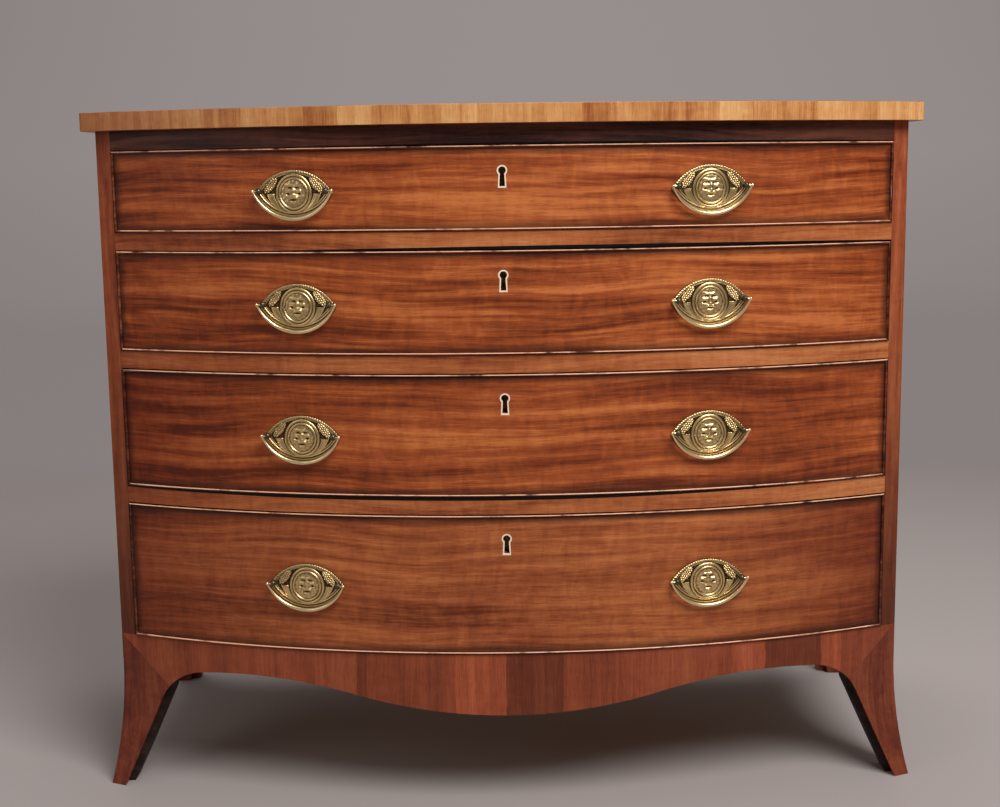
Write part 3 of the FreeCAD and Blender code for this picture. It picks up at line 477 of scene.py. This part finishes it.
def softened(node: str, material: Material, wear: float, segments: int = 2) -> bpy.types.Object:
    """Dress a node with its own shape, its sharp edges rounded by wear.

    Args:
        node: The CAD node.
        material: Its finish.
        wear: How wide the rounding is.
        segments: How many faces the rounding has.

    Returns:
        The piece, which stands in for the node.
    """
    bm = merged_copy(node)
    sharp = [edge for edge in bm.edges if edge.calc_face_angle(0.0) > math.radians(WORN_EDGE)]
    bmesh.ops.bevel(bm, geom=sharp, offset=wear, offset_type="OFFSET", segments=segments, profile=0.5,
                    affect="EDGES", clamp_overlap=True, material=-1)
    smooth(bm)
    piece = finish_piece(bm, f"{node}_worn", material, node)
    piece.modifiers.new("even_shading", "WEIGHTED_NORMAL").keep_sharp = True
    return piece


def paint(node: str, material: Material) -> None:
    """Give a CAD node a finish and keep its mesh."""
    for spot in frame["nodes"][node].material_slots:
        spot.link = "OBJECT"
        spot.material = material


@dataclass
class Case:
    """The carcass: top, sides, rails, apron, feet and the plain wood inside."""

    top: Wood = Wood("mahogany_top", (112, 54, 28), (158, 88, 48), (188, 122, 74), figure=0.7, mottle=0.4,
                     gloss=0.3, coat=0.25, bowed=False)
    # Painted shade darkens the banding towards its left end.
    banding: Wood = Wood("mahogany_banding", (150, 84, 40), (200, 140, 84), (226, 176, 118), Axis.UP,
                         figure=0.45, mottle=0.45, shift=5.0, wander=0.006, leaf=0.041, joint=0.012,
                         leaf_tone=0.08, veneers_and_shade=shade_to_ends(0.6, 1.0), soft=True)
    # Painted shade darkens the sides towards their foot.
    side: Wood = Wood("mahogany_side", (92, 36, 20), (150, 74, 44), (184, 104, 64), Axis.UP, figure=0.5,
                      mottle=0.35, shift=2.0, foot_shade=0.3)
    # Painted shade darkens the rails towards their left end.
    rail: Wood = Wood("mahogany_rail", (116, 54, 28), (172, 97, 54), (200, 130, 80), figure=0.5, mottle=0.6,
                      shift=9.0, veneers_and_shade=shade_to_ends(0.7, 1.0), soft=True)
    # Painted shade: the top rail is near black, as if in the shadow of the top's overhang.
    top_rail: Wood = Wood("mahogany_top_rail", (44, 20, 16), (82, 44, 34), (112, 66, 50), shift=13.0)
    apron: Wood = Wood("mahogany_apron", (92, 42, 26), (142, 68, 42), (170, 94, 60), Axis.UP, figure=0.35,
                       mottle=0.35, shift=21.0, wander=0.008, veneers_and_shade=(
                           (-0.508, PLAIN), (-0.19, DARK), (-0.178, PLAIN), (-0.068, LIGHT), (-0.003, DARK),
                           (0.066, PLAIN), (0.283, LIGHT), (0.326, DARK), (0.402, LIGHT), (0.428, PLAIN),
                           (0.51, PLAIN)))
    foot: Wood = Wood("mahogany_foot", (66, 26, 16), (112, 50, 32), (142, 74, 46), Axis.UP, figure=0.6,
                      shift=31.0)
    oak: Wood = Wood("oak_lining", (128, 92, 54), (172, 132, 84), (198, 162, 112), Axis.DEEP, figure=0.4,
                     mottle=0.2, gloss=0.62, coat=0.0, shift=41.0, wander=0.01)
    pine: Wood = Wood("pine_inside", (138, 98, 60), (182, 138, 90), (206, 168, 118), figure=0.4, mottle=0.1,
                      gloss=0.66, coat=0.0, shift=51.0, wander=0.012, bowed=False)
    # Painted shade: the glue blocks are near black, to read as the shade behind the feet.
    shadowed: Wood = Wood("stained_pine", (26, 18, 14), (42, 30, 24), (60, 44, 34), mottle=0.2, gloss=0.6,
                         coat=0.0, shift=61.0)
    # Drawers that get a painted shade line for a gap above or below, and half its thickness.
    gap_above: tuple[tuple[int, float], ...] = ((1, 3.6 * MM), (2, 5.6 * MM))
    gap_below: tuple[tuple[int, float], ...] = ((3, 4.8 * MM),)

    def gaps(self) -> tuple[Quad, ...]:
        """Return the painted shade lines beside the drawers' openings, for Wood."""
        lines = []
        for number, half in self.gap_above:
            low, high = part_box(f"drawer_{number}_cock_beads")
            lines.append((high.z - half, high.z + half, low.x * 0.75, high.x * 1.25))
        for number, half in self.gap_below:
            low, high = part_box(f"drawer_{number}_cock_beads")
            lines.append((low.z - half, low.z + half, low.x * 1.25, high.x * 0.95))
        return tuple(lines)

    def band_edges(self, board: bpy.types.Object) -> None:
        """Give the upright faces of the top board its crossbanding."""
        board.data.materials.append(self.banding.material())
        for polygon in board.data.polygons:
            if abs(polygon.normal.z) < UPRIGHT:
                polygon.material_index = 1

    def dress(self) -> None:
        """Dress every node of the carcass."""
        self.band_edges(softened("top_board", self.top.material(), 1.0 * MM, 3))
        gaps = self.gaps()
        side = self.side.material()
        softened("case_sides", side, 0.5 * MM)
        # The top rail and the drawer rails carry painted shade lines where the gaps beside the drawers are.
        softened("top_rails", replace(self.top_rail, gaps=gaps).material(), 0.4 * MM)
        softened("drawer_rails", replace(self.rail, gaps=gaps).material(), 0.5 * MM)
        softened("front_apron", self.apron.material(), 0.6 * MM)
        foot = self.foot.material()
        softened("front_feet", foot, 0.7 * MM)
        softened("back_feet", foot, 0.7 * MM)
        softened("side_aprons", side, 0.6 * MM)
        oak, pine = self.oak.material(), self.pine.material()
        for node in ("drawer_runners", "drawer_stops"):
            paint(node, oak)
        for node in ("dust_boards", "bottom_board", "back_boards"):
            paint(node, pine)
        # The glue blocks get painted shade.
        paint("glue_blocks", self.shadowed.material())


@dataclass
class Drawer:
    """One drawer: its front, beads, linings, escutcheon and lock."""

    number: int
    dark: Rgb = (100, 42, 20)
    middle: Rgb = (156, 76, 36)
    light: Rgb = (198, 114, 60)
    figure: float = 0.75
    # How light the painted shade leaves its left and right ends beside its middle.
    ends: Pair = (0.8, 0.9)
    # How much of the front's rim the beads cover.
    margin: float = 3 * MM

    def name(self, part: str) -> str:
        """Return the node name of one of the drawer's parts."""
        return f"drawer_{self.number}_{part}"

    def dress(self, oak: Material, bead: Material, pale: Material, lock: Material) -> None:
        """Dress the drawer's wood, keyhole and lock.

        Args:
            oak: The finish of the linings.
            bead: The finish of the cock beads.
            pale: The finish of the escutcheon.
            lock: The finish of the lock and its bolt.
        """
        low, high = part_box(self.name("front"))
        panel = (low.x + self.margin, high.x - self.margin, low.z + self.margin, high.z - self.margin)
        # The front's tones darken towards its ends: painted shade.
        wood = Wood(self.name("mahogany"), self.dark, self.middle, self.light, figure=self.figure, mottle=0.6,
                    shift=60.0 + 7.0 * self.number, panel=panel, veneers_and_shade=shade_to_ends(*self.ends), soft=True)
        softened(self.name("front"), wood.material(), 0.3 * MM)
        softened(self.name("cock_beads"), bead, 0.5 * MM, 3)
        softened(self.name("escutcheon"), pale, 0.5 * MM)
        for part in ("linings", "bottom"):
            paint(self.name(part), oak)
        for part in ("lock", "lock_bolt"):
            paint(self.name(part), lock)


def dome(offset: float, half: float) -> float:
    """Return the height of a half-round moulding at an offset from its middle, 0 to 1."""
    return math.sqrt(max(0.0, 1.0 - (offset / half) ** 2))


@dataclass(frozen=True)
class Bump:
    """A soft bump or hollow of a relief, in millimetres."""

    across: float
    up: float
    half_across: float
    half_up: float
    height: float

    def at(self, across: float, up: float) -> float:
        """Return the bump's height at a point."""
        reach = ((across - self.across) / self.half_across) ** 2 + ((up - self.up) / self.half_up) ** 2
        return self.height * math.exp(-reach) if reach < 9.0 else 0.0


def both_sides(*bumps: Bump) -> tuple[Bump, ...]:
    """Return the bumps and their copies on the other side of the middle."""
    return tuple(replace(bump, across=sign * bump.across) for bump in bumps for sign in (-1, 1))


@dataclass(frozen=True)
class BackPlate:
    """The stamped relief of a back plate, in millimetres about the plate's middle."""

    half_width: float = 48.75
    half_height: float = 28.25
    ground: float = 1.1
    # Cells of the front, and how far the columns crowd towards the points.
    columns: int = 190
    rows: int = 104
    crowding: float = 0.45
    rope_pitch: float = 3.4
    ring_radius: float = 21.9
    inner_ring_radius: float = 18.2
    mane_radius: float = 14.4
    # How much narrower than tall the rings are.
    oval: float = 1.05
    # How often the relief is evened out to find its hollows.
    evening: int = 14
    # The horns beside the rings: the degrees they span, and their radius and half width, tip and mouth.
    horn_sweep: float = 62.0
    horn_radius: Pair = (24.4, 29.4)
    horn_half: Pair = (0.9, 5.0)
    # The heaps of fruit: middle, half axes and slope in degrees.
    fruit_place: Pair = (28.6, 9.9)
    fruit_half: Pair = (11.4, 4.7)
    fruit_slope: float = -50.0
    berry_radius: float = 1.5
    mask: tuple[Bump, ...] = (
        # skull, bridge and tip of the nose, mouth and chin
        Bump(0.0, 0.5, 10.0, 11.5, 1.4),
        Bump(0.0, 3.2, 1.5, 4.6, 1.3), Bump(0.0, -1.8, 2.6, 1.5, 1.2),
        Bump(0.0, -7.6, 4.0, 1.1, -1.2), Bump(0.0, -10.4, 3.0, 1.6, 1.2),
    ) + both_sides(
        # brow, socket and eye
        Bump(3.7, 9.9, 3.0, 1.6, 1.5), Bump(4.4, 6.7, 2.6, 1.5, -1.4), Bump(4.5, 6.4, 1.1, 0.7, 0.8),
        # cheekbone, the hollow under it, muzzle and jowl
        Bump(7.6, 3.3, 2.7, 1.7, 1.4), Bump(7.2, -0.4, 2.6, 1.5, -1.3), Bump(3.2, -4.8, 2.6, 1.8, 1.7),
        Bump(9.4, -3.6, 1.3, 3.2, 0.9), Bump(6.8, -8.6, 1.4, 2.2, 0.8),
    )

    @property
    def radius(self) -> float:
        """Return the radius of the two arcs that meet in the plate's points."""
        return (self.half_width ** 2 + self.half_height ** 2) / (2 * self.half_height)

    def edge(self, across: float) -> float:
        """Return how far the outline is above the middle line."""
        return max(0.0, math.sqrt(self.radius ** 2 - across ** 2) - self.radius + self.half_height)

    def inside(self, across: float, up: float) -> float:
        """Return how far a point is inside the outline."""
        return self.radius - math.hypot(across, abs(up) + self.radius - self.half_height)

    def border(self, across: float, up: float) -> float:
        """Return the height of the edge: rope above, plain mouldings below."""
        depth = self.inside(across, up)
        along = self.radius * math.atan2(across, abs(up) + self.radius - self.half_height)
        if up > 0:
            twist = math.cos(2 * math.pi * (along - depth * 0.9) / self.rope_pitch)
            return (0.75 + 0.4 * twist) * dome(depth - 1.6, 1.7) + 0.35 * dome(depth - 4.3, 0.6)
        return 0.2 * dome(depth - 1.4, 1.5) + 0.7 * dome(depth - 4.8, 0.9) + 0.4 * dome(depth - 7.2, 0.6)

    def medallion(self, across: float, up: float) -> float:
        """Return the height of the two rings and the lion's mask between them."""
        out = math.hypot(across * self.oval, up)
        rings = 1.1 * dome(out - self.ring_radius, 1.6) + 2.2 * dome(out - self.inner_ring_radius, 1.6)
        if out > self.inner_ring_radius:
            return rings
        turn = math.atan2(across, up)
        locks = 0.5 + 0.5 * math.cos(15 * turn + 1.2 * math.sin(3 * turn) + 0.35 * out)
        mane = (0.35 + 0.3 * locks) * dome(out - self.mane_radius, 2.2)
        return max(rings, 0.35 + mane + sum(bump.at(across, up) for bump in self.mask))

    def horn(self, across: float, up: float) -> float:
        """Return the height of the ribbed horn that curls down each side of the rings."""
        turn = math.degrees(math.atan2(up, abs(across)))
        share = (turn + self.horn_sweep) / self.horn_sweep
        if not 0.0 < share < 1.0:
            return 0.0
        (near, far), (thin, thick) = self.horn_radius, self.horn_half
        half = thin + (thick - thin) * share
        off = math.hypot(across, up) - (near + (far - near) * share ** 1.4)
        ribs = 0.9 + 0.1 * math.cos(2.4 * off)
        return ((0.4 + 0.9 * share) * ribs + 0.5 * dome(share - 0.95, 0.05)) * dome(off, half)

    def fruit(self, across: float, up: float) -> float:
        """Return the height of the heap of fruit that each horn pours out."""
        slope = math.radians(self.fruit_slope)
        side, rise = abs(across) - self.fruit_place[0], up - self.fruit_place[1]
        along = side * math.cos(slope) + rise * math.sin(slope)
        off = -side * math.sin(slope) + rise * math.cos(slope)
        reach = (along / self.fruit_half[0]) ** 2 + (off / self.fruit_half[1]) ** 2
        if reach > 1.0:
            return 0.0
        pitch = 2 * self.berry_radius
        row = round(off / (pitch * 0.87))
        start = 0.5 * (row % 2)
        column = round(along / pitch - start) + start
        gap = math.hypot(along - column * pitch, off - row * pitch * 0.87)
        return 0.6 * dome(reach, 1.0) + 1.25 * dome(gap, self.berry_radius)

    def height(self, across: float, up: float) -> float:
        """Return how far the front stands out from the back of the plate."""
        parts = (self.border(across, up), self.medallion(across, up), self.horn(across, up),
                 self.fruit(across, up))
        skirt = min(1.0, 0.45 + self.inside(across, up) / 1.2)
        return self.ground * skirt + max(parts)

    def spot(self, right: float, above: float) -> Pair:
        """Return the point of the plate for a point of a square that runs from -1 to 1."""
        crowd = math.pi * self.crowding
        across = 0.996 * self.half_width * math.sin(crowd * right) / math.sin(crowd)
        return across, self.edge(across) * above

    def build(self, bend: Callable[[float], float]) -> Mesh:
        """Build the plate, closed, in metres.

        Args:
            bend: How far the wood behind falls back at a distance from the middle, in millimetres.

        Returns:
            The mesh, X along the drawer, Y into it and Z up, with its tarnish in the layer hollow.
        """
        bm = bmesh.new()
        layer = bm.verts.layers.float.new("hollow")
        bmesh.ops.create_grid(bm, x_segments=self.columns, y_segments=self.rows, size=1.0)
        raised: dict[bmesh.types.BMVert, float] = {}
        for vertex in bm.verts:
            across, up = self.spot(vertex.co.x, vertex.co.y)
            raised[vertex] = self.height(across, up)
            vertex.co = across * MM, (bend(across) - raised[vertex]) * MM, up * MM
        around = {vertex: [edge.other_vert(vertex) for edge in vertex.link_edges] for vertex in raised}
        evened = dict(raised)
        for _ in range(self.evening):
            evened = {vertex: sum(evened[other] for other in others) / len(others)
                      for vertex, others in around.items()}
        for vertex, out in raised.items():
            low = 1.0 - min(1.0, max(0.0, (out - self.ground) / 0.5))
            vertex[layer] = min(1.0, max(0.0, 0.8 * low + 1.8 * (evened[vertex] - out)))
        rim = bmesh.ops.extrude_edge_only(bm, edges=open_edges(bm.edges))["geom"]
        for item in rim:
            if isinstance(item, bmesh.types.BMVert):
                item.co.y = bend(item.co.x / MM) * MM
        ends = max(vertex.co.x for vertex in bm.verts) - 0.001 * MM
        back = [edge for edge in open_edges(rim) if min(abs(vertex.co.x) for vertex in edge.verts) < ends]
        bmesh.ops.bridge_loops(bm, edges=back)
        bmesh.ops.holes_fill(bm, edges=bm.edges, sides=0)
        bmesh.ops.recalc_face_normals(bm, faces=bm.faces)
        return bm


@dataclass(frozen=True)
class Bow:
    """The curve of the front, taken from the case."""

    radius: float
    centre: float

    @classmethod
    def measured(cls) -> "Bow":
        """Return the curve through the corners of the case and the middle of its rails."""
        corner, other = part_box("case_sides")
        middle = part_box("drawer_rails")[0].y
        rise = corner.y - middle
        half = (other.x - corner.x) / 2
        radius = (half ** 2 + rise ** 2) / (2 * rise)
        return cls(radius, middle + radius)

    def bend(self, across: float) -> float:
        """Return how far the front falls back from its tangent, all in millimetres."""
        radius = self.radius / MM
        return radius - math.sqrt(radius ** 2 - across ** 2)

    def frame_at(self, across: float, up: float) -> Matrix:
        """Return the frame of something that is set square on the front at a place."""
        angle = math.asin(across / self.radius)
        place = Vector((across, self.centre - self.radius * math.cos(angle), up))
        return Matrix.Translation(place) @ Matrix.Rotation(angle, 4, "Z")


@dataclass(frozen=True)
class Bail:
    """The swinging handle: a wire, thick below, that hangs from two posts, in millimetres."""

    # Where the posts stand, how far the pins are above and before the plate's middle, and the knobs.
    post: float = 42.25
    rise: float = 3.0
    reach: float = 9.0
    knob: float = 4.0
    # How far the wire hangs below the middle, and its radius below and at its ends.
    drop: float = 30.5
    thick: float = 2.5
    thin: float = 1.3
    # The balls at its ends, its pins, how far in they start and the gap between knob and ball.
    tip: float = 2.1
    pin: float = 1.0
    pin_end: float = 43.25
    gap: float = 0.9
    # How much smaller the wire's radius is than that of an arc through both ends.
    fullness: float = 0.995
    # How far the wire's surface stays from the wood behind the plate.
    clearance: float = 2.2
    steps: int = 64
    sides: int = 16

    @property
    def tip_place(self) -> float:
        """Return how far from the middle the ball tips are."""
        return self.post + self.knob + self.gap + self.tip

    def stations(self) -> list[Quad]:
        """Return the wire's stations from right to left: across, up from the pins, slope and radius."""
        fall = self.drop + self.rise
        curve = self.fullness * (self.tip_place ** 2 + fall ** 2) / (2 * fall)
        centre = curve - fall
        span = math.hypot(self.tip_place, centre)
        sweep = math.atan2(self.tip_place, centre) - math.acos(curve / span)
        arc = []
        for step in range(self.steps + 1):
            share = 1.0 - 2.0 * step / self.steps
            angle = sweep * share
            radius = self.thin + (self.thick - self.thin) * (1.0 - share ** 2)
            arc.append((curve * math.sin(angle), centre - curve * math.cos(angle), angle, radius))
        return [(self.tip_place, 0.0, sweep, self.thin), *arc, (-self.tip_place, 0.0, -sweep, self.thin)]

    def build(self) -> Mesh:
        """Build the bail as it hangs at rest, in metres."""
        bm = bmesh.new()
        places = [Matrix.Translation((across, 0.0, up)) @ Matrix.Rotation(math.pi / 2 - slope, 4, "Y")
                  @ Matrix.Scale(radius, 4) for across, up, slope, radius in self.stations()]
        made = bmesh.ops.create_circle(bm, segments=self.sides, radius=1.0, cap_ends=True, matrix=places[0])
        rim = list({edge for vertex in made["verts"] for edge in vertex.link_edges})
        for before, place in zip(places, places[1:]):
            drawn = bmesh.ops.extrude_edge_only(bm, edges=rim)["geom"]
            ring = [item for item in drawn if isinstance(item, bmesh.types.BMVert)]
            rim = open_edges(drawn)
            bmesh.ops.transform(bm, matrix=place @ before.inverted(), verts=ring)
        bmesh.ops.holes_fill(bm, edges=rim, sides=0)
        turned = Matrix.Rotation(math.pi / 2, 4, "Y")
        length = self.tip_place - self.pin_end
        for side in (-1, 1):
            tip = Matrix.Translation((side * self.tip_place, 0.0, 0.0))
            bmesh.ops.create_uvsphere(bm, u_segments=24, v_segments=16, radius=self.tip, matrix=tip)
            pin = Matrix.Translation((side * (self.tip_place - length / 2), 0.0, 0.0))
            bmesh.ops.create_cone(bm, cap_ends=True, segments=self.sides, radius1=self.pin, radius2=self.pin,
                                  depth=length, matrix=pin @ turned)
        bmesh.ops.recalc_face_normals(bm, faces=bm.faces)
        lean = math.asin((self.reach - self.clearance - self.thick) / (self.drop + self.rise))
        hung = (Matrix.Scale(MM, 4) @ Matrix.Translation((0.0, -self.reach, self.rise))
                @ Matrix.Rotation(lean, 4, "X"))
        bmesh.ops.transform(bm, matrix=hung, verts=bm.verts)
        return bm


def open_edges(items: Iterable[object]) -> list[bmesh.types.BMEdge]:
    """Return the boundary edges among what an operator made."""
    return [item for item in items if isinstance(item, bmesh.types.BMEdge) and item.is_boundary]


def place_copies(shape: Mesh, frames: Sequence[Matrix]) -> Mesh:
    """Return a mesh with one copy of a shape in each frame."""
    mesh = bpy.data.meshes.new("copy")
    whole = bmesh.new()
    for place in frames:
        shape.to_mesh(mesh)
        mesh.transform(place)
        whole.from_mesh(mesh)
    bpy.data.meshes.remove(mesh)
    return whole


@dataclass
class Handles:
    """The eight handles: stamped plates, ball-headed posts and swinging bails."""

    bow: Bow
    # How far from the middle of the drawer each handle is.
    place: float = 0.25
    brass: Brass = Brass("brass", (236, 204, 146), (66, 50, 32), 0.3, 0.3)
    bail_brass: Brass = Brass("bail_brass", (255, 234, 182), (140, 112, 74), 0.2, 0.28)
    # Painted reflection: the posts' brass is dark, standing in for the dark room it reflects; its tarnish is
    # its own.
    post_brass: Brass = Brass("post_brass", (92, 82, 62), (34, 28, 20), 0.5, 0.3, 0.75)
    # Edges of a plate and of a wire that turn more than these degrees look sharp.
    plate_shade: float = 60.0
    wire_shade: float = 50.0

    def dress(self) -> None:
        """Build the handles of every drawer."""
        stamped, worn, rubbed = (brass.material() for brass in (self.brass, self.post_brass, self.bail_brass))
        plate, bail = BackPlate().build(self.bow.bend), Bail().build()
        for number in DRAWERS:
            low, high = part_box(f"drawer_{number}_handle_plates")
            middle = (low.z + high.z) / 2
            frames = {side: self.bow.frame_at(sign * self.place, middle)
                      for side, sign in (("left", -1), ("right", 1))}
            plates = place_copies(plate, list(frames.values()))
            smooth(plates, self.plate_shade)
            finish_piece(plates, f"drawer_{number}_stamped_plates", stamped, f"drawer_{number}_handle_plates")
            # The posts' brass is dark with painted reflection.
            paint(f"drawer_{number}_handle_posts", worn)
            for side, place in frames.items():
                swing = place_copies(bail, [place])
                smooth(swing, self.wire_shade)
                name = f"drawer_{number}_{side}_bail_wire"
                finish_piece(swing, name, rubbed, f"drawer_{number}_bail_{side}")
        plate.free()
        bail.free()


@dataclass(frozen=True)
class Camera:
    """The camera, where it stands and how it is turned."""

    place: Triple = (0.0013, -2.0356, 0.7921)
    turn: float = 0.0041
    tilt: float = 0.1531
    roll: float = -0.0135
    focal_pixels: float = 1485.3
    frame_pixels: float = 1000.0
    sensor: float = 36.0

    def build(self) -> None:
        """Set up the scene's camera."""
        data = bpy.data.cameras.new("camera")
        data.sensor_width = self.sensor
        data.lens = self.focal_pixels / self.frame_pixels * self.sensor
        camera = bpy.data.objects.new("camera", data)
        bpy.context.scene.collection.objects.link(camera)
        turned = (Matrix.Rotation(self.turn, 4, "Z") @ Matrix.Rotation(math.pi / 2 - self.tilt, 4, "X")
                  @ Matrix.Rotation(self.roll, 4, "Z"))
        camera.matrix_world = Matrix.Translation(self.place) @ turned
        bpy.context.scene.camera = camera


@dataclass(frozen=True)
class Lamp:
    """A soft lamp that faces a point."""

    name: str
    place: Triple
    target: Triple
    size: float
    power: float

    def build(self) -> None:
        """Add the lamp."""
        data = bpy.data.lights.new(self.name, "AREA")
        data.shape = "DISK"
        data.size = self.size
        data.energy = self.power
        lamp = bpy.data.objects.new(self.name, data)
        bpy.context.scene.collection.objects.link(lamp)
        way = Vector(self.target) - Vector(self.place)
        lamp.matrix_world = Matrix.Translation(self.place) @ way.to_track_quat("-Z", "Y").to_matrix().to_4x4()


@dataclass
class Studio:
    """The floor, the backdrop round it, and the light."""

    radius: float = 9.0
    rim: float = 7.0
    rim_steps: int = 8
    colour: Rgb = (174, 164, 161)
    clouds: Rgb = (120, 112, 110)
    sky: Rgb = (190, 186, 184)
    sky_strength: float = 0.5
    # Where the floor gives way to the wall behind, between which offsets, and the tones of the wall's painted
    # glow from there on, which rise with height and with depth and dim aside of wall_middle with painted
    # shade.
    wall: float = 1.85
    wall_blend: Pair = (-0.25, 0.3)
    wall_rise: float = 0.16
    wall_depth: float = 14.0
    wall_middle: float = 0.6
    wall_dusk: float = -0.005
    wall_darkest: float = 0.7
    tones: tuple[tuple[float, Rgb], ...] = ((0.4, (132, 124, 122)), (1.0, (150, 142, 140)))
    lamps: tuple[Lamp, ...] = (
        Lamp("key", (1.1, -2.0, 2.9), (0.05, -0.1, 0.5), 1.9, 104.0),
        Lamp("fill", (-2.6, -2.2, 1.7), (0.0, -0.1, 0.4), 1.8, 10.0),
        Lamp("top_light", (0.0, 0.9, 3.3), (0.0, -0.3, 0.0), 1.8, 26.0),
    )

    def build(self) -> None:
        """Build the floor, the light of the sky and the lamps."""
        self.floor()
        world = bpy.data.worlds.new("soft_light")
        world.use_nodes = True
        background = world.node_tree.nodes["Background"]
        background.inputs["Color"].default_value = linear(*self.sky)
        background.inputs["Strength"].default_value = self.sky_strength
        bpy.context.scene.world = world
        for lamp in self.lamps:
            lamp.build()

    def floor(self) -> None:
        """Build the round floor, whose rim curves up into a wall."""
        bm = bmesh.new()
        bmesh.ops.create_circle(bm, cap_ends=True, segments=96, radius=self.radius)
        rim = open_edges(bm.edges)
        for index in range(self.rim_steps):
            start, end = (math.radians(step * 90 / self.rim_steps) for step in (index, index + 1))
            out = (math.sin(end) - math.sin(start)) * self.rim
            up = (math.cos(start) - math.cos(end)) * self.rim
            rim = open_edges(bmesh.ops.extrude_edge_only(bm, edges=rim)["geom"])
            for vertex in {vertex for edge in rim for vertex in edge.verts}:
                wide = vertex.co.xy.length
                vertex.co.xy *= (wide + out) / wide
                vertex.co.z += up
        for face in bm.faces:
            face.smooth = True
        bmesh.ops.reverse_faces(bm, faces=[face for face in bm.faces if face.normal.z < 0])
        mesh = bpy.data.meshes.new("studio_floor")
        bm.to_mesh(mesh)
        bm.free()
        mesh.materials.append(self.paper())
        floor = bpy.data.objects.new("studio_floor", mesh)
        bpy.context.scene.collection.objects.link(floor)

    def paper(self) -> Material:
        """Return the backdrop's matt paper, whose wall behind glows with painted light for camera, glossy and
        transmission rays.
        """
        graph = Graph("backdrop_paper")
        cloud = graph.noise((0.7, 0.7, 0.7), 2)
        tint = graph.mix(graph.math("MULTIPLY", cloud, 0.12), linear(*self.colour), linear(*self.clouds))
        graph.shader.inputs["Roughness"].default_value = 0.8
        graph.shader.inputs["Specular IOR Level"].default_value = 0.2
        across, back, up = graph.axes()
        # Painted light: the wall glows in tones that rise with height and depth, with painted shade aside of
        # wall_middle.
        height = graph.math("MULTIPLY_ADD", up, self.wall_rise, graph.math("DIVIDE", back, self.wall_depth))
        tone = graph.ramp(height, [(share, linear(*colour)) for share, colour in self.tones])
        aside = graph.math("SUBTRACT", across, self.wall_middle)
        dusk = graph.math("MULTIPLY_ADD", graph.math("MULTIPLY", aside, aside), self.wall_dusk, 1.0)
        tone = graph.mix(1.0, tone, graph.math("MAXIMUM", dusk, self.wall_darkest), "MULTIPLY")
        path = graph.add("ShaderNodeLightPath", {}).outputs
        seen = graph.math("MAXIMUM", path["Is Camera Ray"],
                          graph.math("MAXIMUM", path["Is Glossy Ray"], path["Is Transmission Ray"]))
        low, high = (self.wall + offset for offset in self.wall_blend)
        beyond = graph.math("MULTIPLY", graph.step(back, low, high), seen)
        dim = graph.mix(beyond, tint, (0.0, 0.0, 0.0, 1.0))
        graph.feed(graph.shader.inputs["Base Color"], dim)
        graph.feed(graph.shader.inputs["Emission Color"], tone)
        graph.feed(graph.shader.inputs["Emission Strength"], beyond)
        return graph.material


def main() -> None:
    """Dress the chest, then set up the camera and the studio."""
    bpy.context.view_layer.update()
    bpy.context.scene.view_settings.view_transform = "Standard"
    Camera().build()
    Studio().build()
    Case().dress()
    oak = bpy.data.materials["oak_lining"]
    # The beads' pale slanting faces are a painted highlight.
    bead = Wood("mahogany_bead", (48, 20, 14), (86, 40, 26), (130, 72, 46), shift=81.0, gloss=0.22,
                worn=(232, 176, 142)).material()
    pale = Brass("pale_brass", (246, 226, 200), (190, 150, 110), 0.2, 0.35, 0.0).material()
    lock = Brass("lock_brass", (120, 92, 50), (40, 28, 18), 0.7, 0.45).material()
    # Each drawer's ends set how far painted shade darkens the ends of its front.
    drawers = (Drawer(1, figure=0.85), Drawer(2, figure=0.9), Drawer(3, ends=(0.6, 0.9)),
               Drawer(4, middle=(156, 82, 44), light=(194, 116, 66), figure=0.6, ends=(0.5, 0.5)))
    for drawer in drawers:
        drawer.dress(oak, bead, pale, lock)
    Handles(Bow.measured()).dress()


if __name__ == "__main__":
    main()
